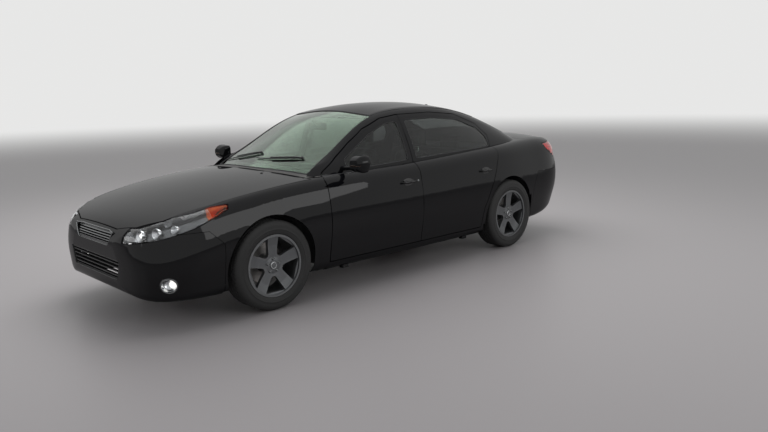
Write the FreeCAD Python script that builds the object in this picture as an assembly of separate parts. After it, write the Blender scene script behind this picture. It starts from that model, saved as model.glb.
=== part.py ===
"""Four-door sedan car, in millimetres: +Z up, nose towards -Y, +X on the car's left side.

The origin is on the ground under the middle of the car. The painted body comes from two lofted
masters, the lower body and the glasshouse. Panels are regions of the shell between a master and
the same master taken inwards, so neighbours keep even shut lines when a size changes.
"""
import FreeCAD, Part
import math
import os
from collections import namedtuple

V = FreeCAD.Vector

# Overall sizes
WHEELBASE = 2800.0
FRONT_OVERHANG = 955.0
REAR_OVERHANG = 1075.0
BODY_WIDTH = 1830.0
ROOF_HEIGHT = 1455.0
GROUND_CLEARANCE = 185.0
TRACK = 1590.0

# Wheels and tyres
TYRE_DIAMETER = 668.0
TYRE_WIDTH = 215.0
RIM_DIAMETER = 445.0
RIM_WALL = 9.0
SPOKE_COUNT = 5
HUB_RADIUS = 34.0
SPINDLE_RADIUS = 20.0
RUNNING_GAP = 0.1
DISC_RADIUS = 150.0
DISC_THICKNESS = 24.0
ARCH_CLEARANCE = 41.0
STEER_INCLINATION = 12.0

# Walls and gaps
SHUT_GAP = 7.0
SEAT_GAP = 0.4
PANEL_THICKNESS = 25.0
PILLAR_DEPTH = 40.0
GLASS_THICKNESS = 5.0
GLASS_RECESS = 5.0
DOOR_THICKNESS = 118.0
FENDER_THICKNESS = 4.0
SHEET = 20.0
LINER_THICKNESS = 4.0
LINER_ROOM = 25.0
LAMP_DEPTH = 60.0
LAMP_GAP = 3.0
LAMP_LAP = 8.0
LENS_RECESS = 2.0

# Doors
FRONT_DOOR_LENGTH = 1010.0
SILL_HEIGHT = 80.0
DOOR_SKEW = 0.38
DOOR_FRONT_SKEW = -0.15
HINGE_INSET = 38.0
HINGE_SETBACK = 42.0
HINGE_HEIGHTS = (405.0, 690.0)
HINGE_POCKET = 26.0
HINGE_LEAF = 20.0
HINGE_PIN_RADIUS = 5.0
HINGE_KNUCKLE_RADIUS = 9.0
PIN_DEPTH = 12.0
BELT_STEP = 22.0
WINDOW_FRAME = 46.0

HANDLE_Z = 800.0
HANDLE_LENGTH = 170.0
HANDLE_REACH = 24.0
HANDLE_SETBACK = 75.0

# Hood and boot lid hinges; pivots and arms are y, z
HOOD_PIN_RADIUS = 5.0
LID_ARM_WIDTH = 24.0
LID_ARM_DEPTH = 18.0
LID_EYE_RADIUS = 11.0
LID_EDGE = 9.0
LID_GAP = 9.0
COWL_GAP = 14.0

# Grille bars
GRILLE_BARS = 5
INTAKE_BARS = 4
GRILLE_BAR = 7.0
GRILLE_RIM = 11.0

# Sweep option for a bent bar's elbows
ROUND_ELBOW = 2

# Running gear
BALL_X = 690.0
BALL_Z = 215.0
BALL_PIN_RADIUS = 10.0
STRUT_STUD_RADIUS = 12.0
TOWER_Z = 750.0
DISC_X = 724.0
UPRIGHT_X = (664.0, 700.0)
HUB_START_X = 706.0
SPINDLE_END_X = 838.0
RIM_FACE_X = 876.0
BEAM_Z = (475.0, 548.0)
UPPER_RAIL_X = (735.0, 800.0)
LINER_INNER_X = 705.0
RADIATOR_SETBACK = 235.0

# Cabin, exhaust and mirrors
DASH_HALF = 735.0
COLUMN_PIN_RADIUS = 10.0
EXHAUST_X = 60.0
EXHAUST_Z = 262.0
TAIL_PIPE_X = 520.0
TAIL_PIPE_Z = 272.0
MIRROR_X = (925.0, 1085.0)
MIRROR_Z = 1010.0

# Floor
TUNNEL_HALF = 120.0
TUNNEL_TOP = 350.0
KICK_Z = 340.0
SHELF_Z = 985.0
SHELF_HALF = 560.0

# What rounding the corners takes off the widest line and off the roof's ridge
SIDE_TRIM = 12.5
CROWN_TRIM = 20.0

# Cabin
SEAT_CENTRE_X = 365.0
STEERING_WHEEL_RADIUS = 182.0
COLUMN_ANGLE = 24.0

HALF = BODY_WIDTH / 2
SKIN_HALF = HALF + SIDE_TRIM
NOSE_Y = -(FRONT_OVERHANG + WHEELBASE + REAR_OVERHANG) / 2
TAIL_Y = -NOSE_Y
FRONT_AXLE_Y = NOSE_Y + FRONT_OVERHANG
REAR_AXLE_Y = FRONT_AXLE_Y + WHEELBASE
WHEEL_Z = TYRE_DIAMETER / 2
WHEEL_X = TRACK / 2
ARCH_RADIUS = WHEEL_Z + ARCH_CLEARANCE
SILL_TOP = GROUND_CLEARANCE + SILL_HEIGHT
DOOR_FRONT_Y = FRONT_AXLE_Y + 530
FIREWALL_Y = DOOR_FRONT_Y + 30
B_LINE_Y = DOOR_FRONT_Y + FRONT_DOOR_LENGTH
SEAT_BACK_Y = REAR_AXLE_Y - 220
FLOOR_Z = GROUND_CLEARANCE + 15
FLOOR_TOP = FLOOR_Z + SHEET
LINER_RADIUS = ARCH_RADIUS + LINER_ROOM
LINER_OUTER_X = HALF - 40
POST_FRONT_Y = DOOR_FRONT_Y - 80
COWL_REAR_Y = FIREWALL_Y + 20
UNDERSIDE_Z = GROUND_CLEARANCE + 45
QUARTER_INNER_X = 650.0
DECK_HALF = 575.0
DECK_FRONT_Y = REAR_AXLE_Y + 300
UPPER_RAIL_TOP = 790.0
FENDER_INNER_X = 600.0
TRUNK_FLOOR_Z = 400.0
RADIATOR_Y = NOSE_Y + RADIATOR_SETBACK
KICK_Y = REAR_AXLE_Y - 520
HOOD_PIVOT = (DOOR_FRONT_Y - 45, 895.0)
HOOD_ARM = [(-10.0, -60.0), (-92.0, -60.0), (-100.0, 25.0)]
HOOD_ARM_X = 752.0
HOOD_PIN_X = 738.0
LID_PIVOT = (REAR_AXLE_Y + 352, 1058.0)
LID_ARM = [(0.0, -120.0), (150.0, -120.0), (160.0, 25.0)]
LID_ARM_ROOM = [(-34.0, -250.0), (110.0, -250.0), (110.0, -18.0), (45.0, 0.0), (15.0, 17.0), (-34.0, 17.0)]
LID_ARM_X = 500.0
RAIL_X = (400.0, 470.0)
RAIL_Z = (430.0, 530.0)
INNER_X = HALF - 145
FAR = 4000.0


def unit(a, b):
    """Unit vector from a to b in a plane, with the distance."""
    length = math.hypot(b[0] - a[0], b[1] - a[1])
    return ((b[0] - a[0]) / length, (b[1] - a[1]) / length), length


def rounded_wire(points, cuts, place, soft=False):
    """Closed wire whose corners are cut back by the lengths in cuts and rounded.

    The rounding is an arc, or with soft a cubic close to it, which makes lighter lofts.
    """
    corners = []
    for i, corner in enumerate(points):
        back, _ = unit(corner, points[i - 1])
        ahead, _ = unit(corner, points[(i + 1) % len(points)])
        cut = cuts[i]
        if cut <= 0:
            corners.append((corner, None, corner))
            continue
        bisector = (back[0] + ahead[0], back[1] + ahead[1])
        size = math.hypot(*bisector)
        bisector = (bisector[0] / size, bisector[1] / size)
        half_angle = math.acos(max(-1.0, min(1.0, back[0] * bisector[0] + back[1] * bisector[1])))
        reach = cut / math.cos(half_angle) - cut * math.tan(half_angle)
        start = (corner[0] + back[0] * cut, corner[1] + back[1] * cut)
        end = (corner[0] + ahead[0] * cut, corner[1] + ahead[1] * cut)
        middle = [(corner[0] + bisector[0] * reach, corner[1] + bisector[1] * reach)]
        if soft:
            turn = math.pi / 2 - half_angle
            pull = cut * (1 - 4 / 3 * math.tan(turn / 2) / math.tan(turn)) if turn > 0.001 else cut / 3
            middle = [(corner[0] + way[0] * pull, corner[1] + way[1] * pull) for way in (back, ahead)]
        corners.append((start, middle, end))
    edges = []
    for i, (start, middle, end) in enumerate(corners):
        if middle and soft:
            curve = Part.BezierCurve()
            curve.setPoles([place(start), place(middle[0]), place(middle[1]), place(end)])
            edges.append(curve.toShape())
        elif middle:
            edges.append(Part.Arc(place(start), place(middle[0]), place(end)).toShape())
        following = corners[(i + 1) % len(corners)][0]
        edges.append(Part.LineSegment(place(end), place(following)).toShape())
    return Part.Wire(edges)


def offset_polygon(points, distance):
    """The polygon with every side moved outwards by distance, for either winding."""
    area = sum(points[i - 1][0] * p[1] - p[0] * points[i - 1][1] for i, p in enumerate(points))
    side = 1.0 if area > 0 else -1.0
    moved = []
    for i, corner in enumerate(points):
        before, _ = unit(points[i - 1], corner)
        after, _ = unit(corner, points[(i + 1) % len(points)])
        n1 = (before[1] * side, -before[0] * side)
        n2 = (after[1] * side, -after[0] * side)
        scale = distance / (1 + n1[0] * n2[0] + n1[1] * n2[1])
        moved.append((corner[0] + (n1[0] + n2[0]) * scale, corner[1] + (n1[1] + n2[1]) * scale))
    return moved


def prism(points, axis, low, high, rounding=0.0):
    """Polygon in the plane across axis, with its corners rounded, extruded from low to high."""
    place = {
        "x": lambda p: V(low, p[0], p[1]),
        "y": lambda p: V(p[0], low, p[1]),
        "z": lambda p: V(p[0], p[1], low),
    }[axis]
    run = {"x": V(high - low, 0, 0), "y": V(0, high - low, 0), "z": V(0, 0, high - low)}[axis]
    wire = rounded_wire(points, [rounding] * len(points), place)
    return Part.Face(wire).extrude(run)


def box(x0, x1, y0, y1, z0, z1):
    """Box between two corners."""
    return Part.makeBox(x1 - x0, y1 - y0, z1 - z0, V(x0, y0, z0))


def cylinder_x(radius, x0, x1, y, z):
    """Cylinder along X."""
    return Part.makeCylinder(radius, x1 - x0, V(x0, y, z), V(1, 0, 0))


def cylinder_y(radius, x, z, y0, y1):
    """Cylinder along Y."""
    return Part.makeCylinder(radius, y1 - y0, V(x, y0, z), V(0, 1, 0))


def mirrored(shape):
    """The same piece on the other side of the car."""
    return shape.mirror(V(0, 0, 0), V(1, 0, 0))


def save(name, *solids):
    """Writes one node from its solids."""
    found = [s for shape in solids for s in shape.Solids]
    Part.makeCompound(found).exportStep(os.path.join("parts", name + ".step"))


# Lower body sections, from nose to tail
# sill, side and shoulder are insets from SKIN_HALF; end says which way the section moves inwards
Section = namedtuple("Section", "y end bottom sill side side_z shoulder shoulder_z top")
BODY_SECTIONS = [
    Section(NOSE_Y, 1, 330, 585, 515, 450, 575, 560, 600),
    Section(NOSE_Y + 30, 1, 250, 395, 325, 450, 415, 640, 670),
    Section(NOSE_Y + 105, 1, 205, 265, 195, 450, 295, 690, 735),
    Section(NOSE_Y + 265, 0, 190, 155, 100, 460, 175, 745, 800),
    Section(NOSE_Y + 555, 0, 185, 95, 35, 560, 115, 810, 875),
    Section(FRONT_AXLE_Y, 0, 185, 80, 10, 600, 80, 870, 945),
    Section(DOOR_FRONT_Y + 30, 0, 185, 75, 0, 600, 65, 915, 1000),
    Section(B_LINE_Y + 20, 0, 185, 70, 0, 600, 65, 950, 1010),
    Section(REAR_AXLE_Y - 440, 0, 185, 70, 0, 600, 65, 985, 1040),
    Section(REAR_AXLE_Y, 0, 190, 75, 3, 620, 75, 1000, 1080),
    Section(TAIL_Y - 565, 0, 205, 125, 35, 620, 125, 1015, 1110),
    Section(TAIL_Y - 215, 0, 240, 195, 90, 610, 175, 1010, 1105),
    Section(TAIL_Y - 65, -1, 290, 275, 170, 600, 255, 980, 1070),
    Section(TAIL_Y, -1, 400, 435, 315, 600, 415, 760, 800),
]

# Glasshouse sections, from the foot of the windscreen to the boot lid; widths are half widths
Glass = namedtuple("Glass", "y base waist waist_z rail rail_z top")
GLASS_BASE_Z = 860.0
GLASS_FOOT_Z = 800.0
GLASS_SECTIONS = [
    Glass(DOOR_FRONT_Y - 130, 765, 745, 858.5, 690, 862, 975),
    Glass(DOOR_FRONT_Y + 230, 815, 775, 985, 660, 1080, 1160),
    Glass(DOOR_FRONT_Y + 600, 830, 765, 1060, 607, 1290, 1352),
    Glass(DOOR_FRONT_Y + 810, 833, 750, 1095, 588, 1362, 1412),
    Glass(B_LINE_Y + 220, 835, 742, 1110, 572, 1405, ROOF_HEIGHT),
    Glass(REAR_AXLE_Y - 590, 832, 738, 1105, 562, 1385, 1437),
    Glass(REAR_AXLE_Y - 240, 825, 735, 1085, 553, 1315, 1368),
    Glass(REAR_AXLE_Y + 110, 810, 730, 1030, 546, 1200, 1252),
    Glass(REAR_AXLE_Y + 460, 780, 720, 960, 540, 1050, 1096),
    Glass(REAR_AXLE_Y + 560, 770, 700, 930, 535, 1000, 1040),
]


def body_loft(inset=0.0):
    """Lower body master, every wall taken inwards by inset."""
    wires = []
    for s in BODY_SECTIONS:
        corners = [
            (SKIN_HALF - s.sill, s.bottom),
            (SKIN_HALF - s.side, s.side_z),
            (SKIN_HALF - s.shoulder, s.shoulder_z),
            (0.0, s.top),
            (s.shoulder - SKIN_HALF, s.shoulder_z),
            (s.side - SKIN_HALF, s.side_z),
            (s.sill - SKIN_HALF, s.bottom),
        ]
        corners = offset_polygon(corners, -inset)
        _, lower = unit(corners[0], corners[1])
        _, upper = unit(corners[1], corners[2])
        _, crown = unit(corners[2], corners[3])
        cuts = [0.2 * lower, 0.45 * min(lower, upper), 0.3 * upper, 0.8 * crown]
        cuts = cuts + [cuts[2], cuts[1], cuts[0]]
        y = s.y + s.end * inset
        wires.append(rounded_wire(corners, cuts, lambda p, y=y: V(p[0], y, p[1]), True))
    loft = Part.makeLoft(wires, True, False)
    return loft.common(box(-FAR, FAR, -FAR, TAIL_Y - inset, -FAR, FAR))


def glass_loft(inset=0.0):
    """Glasshouse master, walls taken inwards by inset, its foot left buried in the lower body."""
    wires = []
    for s in GLASS_SECTIONS:
        corners = [
            (s.base, GLASS_FOOT_Z),
            (s.waist, s.waist_z),
            (s.rail, s.rail_z),
            (0.0, s.top + CROWN_TRIM),
            (-s.rail, s.rail_z),
            (-s.waist, s.waist_z),
            (-s.base, GLASS_FOOT_Z),
        ]
        corners = offset_polygon(corners, -inset)
        slope = (s.base - s.waist) / (s.waist_z - GLASS_FOOT_Z)
        foot_x = corners[1][0] + slope * (corners[1][1] - GLASS_FOOT_Z)
        corners[0] = (foot_x, GLASS_FOOT_Z)
        corners[-1] = (-foot_x, GLASS_FOOT_Z)
        _, lower = unit(corners[0], corners[1])
        _, upper = unit(corners[1], corners[2])
        _, crown = unit(corners[2], corners[3])
        cuts = [0, 0.6 * min(lower, upper), 0.3 * min(upper, 300), 0.6 * crown]
        cuts = cuts + [cuts[2], cuts[1], cuts[0]]
        wires.append(rounded_wire(corners, cuts, lambda p, y=s.y: V(p[0], y, p[1]), True))
    return Part.makeLoft(wires, True, False)


def spread(table, value):
    """Straight-line reading of a table of (place, size) pairs."""
    for (a, low), (b, high) in zip(table, table[1:]):
        if value <= b:
            return low + (high - low) * (value - a) / (b - a)
    return table[-1][1]


# Half width of the skin by height, which places the slant of each door edge
SKIN_BY_HEIGHT = (
    (SILL_TOP, HALF - 44),
    (600.0, HALF - 1),
    (850.0, HALF - 34),
    (900.0, HALF - 57),
    (930.0, HALF - 86),
    (960.0, HALF - 128),
    (1150.0, HALF - 203),
    (1352.0, HALF - 318),
)

# Pads under the sill for a jack
JACK_PAD_X = (780.0, 820.0)
JACK_PAD_Y = (-740.0, 720.0)
JACK_PAD_Z = 172.0

# Belt line, the lower edge of the side windows
BELT_LINE = (
    (DOOR_FRONT_Y + 30, 915.0 + BELT_STEP),
    (B_LINE_Y + 20, 950.0 + BELT_STEP),
    (REAR_AXLE_Y - 440, 985.0 + BELT_STEP),
)

FRONT_WINDOW_Y = DOOR_FRONT_Y + 230
REAR_WINDOW_Y = B_LINE_Y + SHUT_GAP

# Door outlines on the skin: y, z and the slant of the edge through the wall
REAR_DOOR_FRONT_Y = B_LINE_Y + SHUT_GAP
OPENING_Y = (DOOR_FRONT_Y, REAR_DOOR_FRONT_Y)
FRONT_DOOR = [
    (DOOR_FRONT_Y, SILL_TOP, DOOR_FRONT_SKEW),
    (DOOR_FRONT_Y, 900, DOOR_FRONT_SKEW),
    (DOOR_FRONT_Y + 35, 945, DOOR_FRONT_SKEW),
    (DOOR_FRONT_Y + 600, 1252, DOOR_SKEW),
    (DOOR_FRONT_Y + 810, 1328, DOOR_SKEW),
    (B_LINE_Y, 1352, DOOR_SKEW),
    (B_LINE_Y, SILL_TOP, DOOR_SKEW),
]
REAR_DOOR = [
    (REAR_DOOR_FRONT_Y, SILL_TOP, DOOR_FRONT_SKEW),
    (REAR_DOOR_FRONT_Y, 1352, DOOR_FRONT_SKEW),
    (REAR_AXLE_Y - 840, 1356, DOOR_SKEW),
    (REAR_AXLE_Y - 490, 1325, DOOR_SKEW),
    (REAR_AXLE_Y - 210, 1222, DOOR_SKEW),
    (REAR_AXLE_Y - 110, 1110, DOOR_SKEW),
    (REAR_AXLE_Y - 150, 1000, DOOR_SKEW),
    (REAR_AXLE_Y - 230, 800, DOOR_SKEW),
    (REAR_AXLE_Y - 415, 450, DOOR_SKEW),
    (REAR_AXLE_Y - 435, SILL_TOP, DOOR_SKEW),
]
DOOR_PLANES = (470.0, 990.0)
DOOR_INNER_X = HALF - DOOR_THICKNESS
FLANGE_X = DOOR_INNER_X - SHUT_GAP
FLANGE_LAP = 42.0
FLANGE_TOP_Z = 740.0
DOOR_CORNER_X = 745.0


def with_knots(outline):
    """The outline with a point added wherever an edge crosses a height of the skin table."""
    points = []
    for i, (y, z, skew) in enumerate(outline):
        points.append((y, z, skew))
        next_y, next_z, next_skew = outline[(i + 1) % len(outline)]
        heights = [h for h, _ in SKIN_BY_HEIGHT if min(z, next_z) + 12 < h < max(z, next_z) - 12]
        for h in sorted(heights, reverse=next_z < z):
            share = (h - z) / (next_z - z)
            points.append((y + share * (next_y - y), h, skew + share * (next_skew - skew)))
    return points


def slanted_prism(outline, grow):
    """Door-shaped prism through the left wall, its edges slanted, grown by a gap."""
    outline = with_knots(outline)
    grown = offset_polygon([(y, z) for y, z, _ in outline], grow)
    wires = []
    for x in DOOR_PLANES:
        corners = []
        for (y, z), (_, _, skew) in zip(grown, outline):
            corners.append(V(x, y + skew * (x - spread(SKIN_BY_HEIGHT, z)), z))
        wires.append(Part.makePolygon(corners + corners[:1]))
    return Part.makeLoft(wires, True, True)


def window_outline(outline, front_y, grow=0.0):
    """Window in a door: its upper outline taken in by the frame, cut off at the belt line."""
    line = []
    for y, z, _ in outline:
        if z > 940 and (not line or y > line[-1][0] + 1):
            line.append((float(y), float(z)))
    last_y = line[-1][0]
    points = [(front_y, spread(BELT_LINE, front_y) - WINDOW_FRAME), (front_y, spread(line, front_y))]
    points += [p for p in line if p[0] > front_y + 1]
    points.append((last_y, spread(BELT_LINE, last_y) - WINDOW_FRAME))
    return offset_polygon(points, grow - WINDOW_FRAME)


def lid_prism(outline, axis, low, high, grow):
    """Prism of a symmetric outline given by its left half, grown by a gap."""
    full = outline + [(-a, b) for a, b in reversed(outline)]
    return prism(offset_polygon(full, grow), axis, low, high)


# Left halves of the outlines seen from above (x, y), or from behind (x, z)
HOOD_REAR_Y = DOOR_FRONT_Y - 170
HOOD_LOW_Z = 664.0
HOOD_CORNER_Y = DOOR_FRONT_Y - 105
HOOD = [
    (330.0, NOSE_Y + 55),
    (520.0, NOSE_Y + 110),
    (655.0, NOSE_Y + 235),
    (735.0, NOSE_Y + 555),
    (770.0, FRONT_AXLE_Y),
    (785.0, HOOD_CORNER_Y),
    (300.0, HOOD_REAR_Y),
]
WINDSCREEN = [
    (330.0, DOOR_FRONT_Y - 135),
    (660.0, DOOR_FRONT_Y - 80),
    (617.0, DOOR_FRONT_Y + 230),
    (562.0, DOOR_FRONT_Y + 600),
    (540.0, DOOR_FRONT_Y + 765),
    (300.0, DOOR_FRONT_Y + 750),
]
REAR_SCREEN = [
    (250.0, REAR_AXLE_Y - 140),
    (520.0, REAR_AXLE_Y - 125),
    (545.0, REAR_AXLE_Y + 110),
    (560.0, REAR_AXLE_Y + 300),
    (300.0, REAR_AXLE_Y + 330),
]
LID_FRONT_Y = REAR_AXLE_Y + 457
LID = [(520.0, 715.0), (560.0, 850.0), (655.0, 985.0), (655.0, 1300.0)]
ROOF_SPLIT_X = 530.0
ROOF_FRONT_Y = DOOR_FRONT_Y + 700
ROOF_REAR_Y = REAR_AXLE_Y - 60

# Lamp outlines seen from the side (y, z)
HEADLAMP = [
    (NOSE_Y - 25, 588),
    (NOSE_Y + 215, 640),
    (NOSE_Y + 435, 705),
    (NOSE_Y + 635, 788),
    (NOSE_Y + 650, 815),
    (NOSE_Y + 545, 806),
    (NOSE_Y + 265, 750),
    (NOSE_Y + 105, 692),
    (NOSE_Y - 25, 655),
]
HEADLAMP_INNER_X = 470.0
TAIL_LAMP = [
    (TAIL_Y + 25, 800),
    (TAIL_Y + 25, 965),
    (TAIL_Y - 150, 985),
    (TAIL_Y - 395, 975),
    (TAIL_Y - 330, 905),
    (TAIL_Y - 130, 800),
]
TAIL_LAMP_INNER_X = 430.0
FOG_LAMP_RADIUS = 52.0
FOG_LAMP_AT = (748.0, NOSE_Y + 205, 318.0)
FOG_LAMP_AXIS = V(0.62, -0.785, -0.05)

# Bumper regions seen from the side (y, z)
FRONT_BUMPER = [
    (NOSE_Y - 50, 150),
    (NOSE_Y + 562, 150),
    (NOSE_Y + 562, 560),
    (NOSE_Y + 470, 655),
    (NOSE_Y + 60, 655),
    (NOSE_Y - 50, 800),
]
REAR_BUMPER = [
    (TAIL_Y + 50, 150),
    (TAIL_Y - 655, 150),
    (TAIL_Y - 655, 560),
    (TAIL_Y - 580, 705),
    (TAIL_Y + 50, 705),
]
GRILLE = [(265.0, 555.0), (330.0, 655.0)]
INTAKE = [(380.0, 330.0), (430.0, 470.0)]
GRILLE_DEPTH = 80.0


def hood_room():
    """The space of the hood with its shut gap."""
    return lid_prism(HOOD, "z", HOOD_LOW_Z - SHUT_GAP, 1300, SHUT_GAP)


def lid_room():
    """The space of the boot lid with its shut gaps."""
    return lid_prism(LID, "y", LID_FRONT_Y - LID_GAP, FAR, SHUT_GAP)


def region(outline, inner_x, grow=0.0):
    """Prism of a side outline, from inner_x out past the skin."""
    points = offset_polygon([(float(y), float(z)) for y, z in outline], grow)
    return prism(points, "x", inner_x - grow, FAR)


def rod(points, radius):
    """Round bar through points, with rounded elbows."""
    start, end = V(*points[0]), V(*points[1])
    if len(points) == 2:
        return Part.makeCylinder(radius, (end - start).Length, start, end - start)
    path = Part.makePolygon([V(*p) for p in points])
    ring = Part.Wire(Part.makeCircle(radius, start, end - start))
    return path.makePipeShell([ring], True, False, ROUND_ELBOW)


def revolve_x(profile, y, z):
    """Turns a closed (x, radius) profile about the X line through y, z."""
    wire = Part.makePolygon([V(x, y, z + r) for x, r in profile + profile[:1]])
    return Part.Face(wire).revolve(V(0, y, z), V(1, 0, 0), 360)


def largest(shape):
    """The main solid of a cut, without slivers left beside its neighbours."""
    return max(shape.Solids, key=lambda solid: solid.Volume)


def wall(outer, inner, zone):
    """The wall between two masters inside a zone."""
    return outer.common(zone).cut(inner)


class Shells:
    """The masters, lofted once, and their left halves."""

    def __init__(self):
        left = box(0, FAR, -FAR, FAR, -FAR, FAR)
        self.body = body_loft()
        self.body_in = body_loft(PANEL_THICKNESS)
        self.body_seat = body_loft(PANEL_THICKNESS + SEAT_GAP)
        self.lamp_face = body_loft(LENS_RECESS)
        self.lamp_back = body_loft(LAMP_DEPTH)
        self.glass = glass_loft()
        self.glass_in = glass_loft(PILLAR_DEPTH)
        self.left_body = self.body.common(left)
        self.left_in = self.body_in.common(left)
        self.left_seat = self.body_seat.common(left)
        self.fender_in = body_loft(FENDER_THICKNESS).common(left)
        self.fender_seat = body_loft(FENDER_THICKNESS + SEAT_GAP).common(left)
        self.left_glass = self.glass.common(left)
        self.left_glass_in = self.glass_in.common(left)
        self.left_master = self.left_body.fuse(self.left_glass)
        self.body_over = body_loft(-SEAT_GAP)
        self.body_edge = body_loft(LID_EDGE)
        pane = glass_loft(GLASS_RECESS).cut(glass_loft(GLASS_RECESS + GLASS_THICKNESS))
        self.pane = pane.cut(self.body_over)


def arch(y, radius, x0, x1):
    """Cylinder across the car about a wheel's centre line."""
    return cylinder_x(radius, x0, x1, y, WHEEL_Z)


def vertical(radius, x, y, z0, z1):
    """Upright cylinder."""
    return Part.makeCylinder(radius, z1 - z0, V(x, y, z0))


def hinge_at(front_y):
    """Place of a left door's hinge line."""
    return HALF - HINGE_INSET, front_y + HINGE_SETBACK


def make_door(shells, outline, front_y, window_front_y, latch_y):
    """Left door with its window cut, hinge pockets, bores and pull handle."""
    door = shells.left_master.common(slanted_prism(outline, 0.0))
    cutters = [shells.left_glass_in, box(-FAR, DOOR_INNER_X, -FAR, FAR, -FAR, GLASS_BASE_Z)]
    cutters.append(box(-FAR, DOOR_CORNER_X, -FAR, FRONT_WINDOW_Y, -FAR, BELT_LINE[0][1]))
    cutters.append(box(-FAR, ROOF_SPLIT_X + SHUT_GAP, -FAR, FAR, GLASS_SECTIONS[2].waist_z, FAR))
    cutters.append(prism(window_outline(outline, window_front_y), "x", 400, FAR, 16))
    x, y = hinge_at(front_y)
    room = HINGE_KNUCKLE_RADIUS + 3
    for z in HINGE_HEIGHTS:
        low, high = z - HINGE_POCKET / 2, z + HINGE_POCKET / 2
        cutters.append(box(DOOR_INNER_X - 30, x + room, front_y - 60, y + room, low, high))
        cutters.append(vertical(HINGE_PIN_RADIUS + RUNNING_GAP, x, y, low - PIN_DEPTH, high + PIN_DEPTH))
    door = door.cut(cutters)
    handle_y = latch_y - HANDLE_SETBACK
    skin = spread(SKIN_BY_HEIGHT, HANDLE_Z)
    route = [
        (skin - 14, handle_y - HANDLE_LENGTH, HANDLE_Z),
        (skin + HANDLE_REACH, handle_y - HANDLE_LENGTH + 16, HANDLE_Z),
        (skin + HANDLE_REACH, handle_y - 16, HANDLE_Z),
        (skin - 14, handle_y, HANDLE_Z),
    ]
    return door.fuse(rod(route, 9))


def make_pane(shells, outline, window_front_y):
    """Left side window pane, seated in its door."""
    opening = prism(window_outline(outline, window_front_y, -SEAT_GAP), "x", 400, FAR, 16)
    return shells.pane.common(opening)


def hinge_leaves(front_y):
    """Body halves of a door's hinges: arm, knuckle and pin."""
    x, y = hinge_at(front_y)
    parts = []
    for z in HINGE_HEIGHTS:
        low, high = z - HINGE_LEAF / 2, z + HINGE_LEAF / 2
        reach = HINGE_POCKET / 2 + PIN_DEPTH - 2
        parts.append(box(INNER_X + 2, x, y - 7, y + 7, low, high))
        parts.append(vertical(HINGE_KNUCKLE_RADIUS, x, y, low, high))
        parts.append(vertical(HINGE_PIN_RADIUS, x, y, z - reach, z + reach))
    return parts


def make_side_frame(shells):
    """Left body side: sill, posts, roof rail and quarter panel, around the door openings."""
    front_y = DOOR_FRONT_Y - SHUT_GAP
    rear = shells.left_body.common(box(0, FAR, front_y, FAR, -FAR, FAR))
    post = shells.fender_seat.common(box(INNER_X, FAR, POST_FRONT_Y, front_y, -FAR, FAR))
    hollow = shells.left_in.cut(box(INNER_X, FAR, -FAR, SEAT_BACK_Y, -FAR, FAR))
    lower = rear.cut([
        hollow,
        box(-FAR, INNER_X, -FAR, COWL_REAR_Y, -FAR, FAR),
        box(-FAR, FAR, SEAT_BACK_Y, FAR, -FAR, UNDERSIDE_Z),
        box(-FAR, QUARTER_INNER_X, -FAR, FAR, -FAR, 700),
        box(-FAR, INNER_X, -FAR, SEAT_BACK_Y, -FAR, 700),
    ])
    cutters = [
        shells.left_glass_in,
        box(-FAR, ROOF_SPLIT_X, ROOF_FRONT_Y, ROOF_REAR_Y, 1000, FAR),
        box(-FAR, DECK_HALF, DECK_FRONT_Y, FAR, -FAR, FAR),
        lid_prism(WINDSCREEN, "z", 500, 2000, 0),
        lid_prism(REAR_SCREEN, "z", 500, 2000, 0),
        lid_room(),
        region(REAR_BUMPER, -FAR, LAMP_GAP),
        region(TAIL_LAMP, TAIL_LAMP_INNER_X, LAMP_GAP),
        arch(REAR_AXLE_Y, ARCH_RADIUS, 500, FAR),
        arch(REAR_AXLE_Y, LINER_RADIUS + LINER_THICKNESS + SEAT_GAP, 500, LINER_OUTER_X),
    ]
    flange = box(-FAR, FLANGE_X, -FAR, FAR, -FAR, FLANGE_TOP_Z)
    for outline, front_y in ((FRONT_DOOR, DOOR_FRONT_Y), (REAR_DOOR, REAR_DOOR_FRONT_Y)):
        cutters.append(slanted_prism(outline, SHUT_GAP).cut(flange))
        cutters.append(slanted_prism(outline, -FLANGE_LAP))
        x, y = hinge_at(front_y)
        swing = vertical(math.hypot(HINGE_INSET, HINGE_SETBACK) + 5, x, y, SILL_TOP - SHUT_GAP, 960)
        cutters.append(swing.cut(box(-FAR, FLANGE_X, -FAR, FAR, -FAR, FAR)))
    cutters.append(shells.body_over.common(box(0, INNER_X, -FAR, COWL_REAR_Y, -FAR, FAR)))
    frame = lower.fuse([post, shells.left_glass]).cut(cutters)
    pin = cylinder_x(HOOD_PIN_RADIUS, HOOD_PIN_X, INNER_X + 5, HOOD_PIVOT[0], HOOD_PIVOT[1])
    parts = hinge_leaves(DOOR_FRONT_Y) + hinge_leaves(REAR_DOOR_FRONT_Y) + [pin]
    for y in JACK_PAD_Y:
        parts.append(box(JACK_PAD_X[0], JACK_PAD_X[1], y - 30, y + 30, JACK_PAD_Z, JACK_PAD_Z + 40))
    return frame.fuse(parts)


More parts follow.
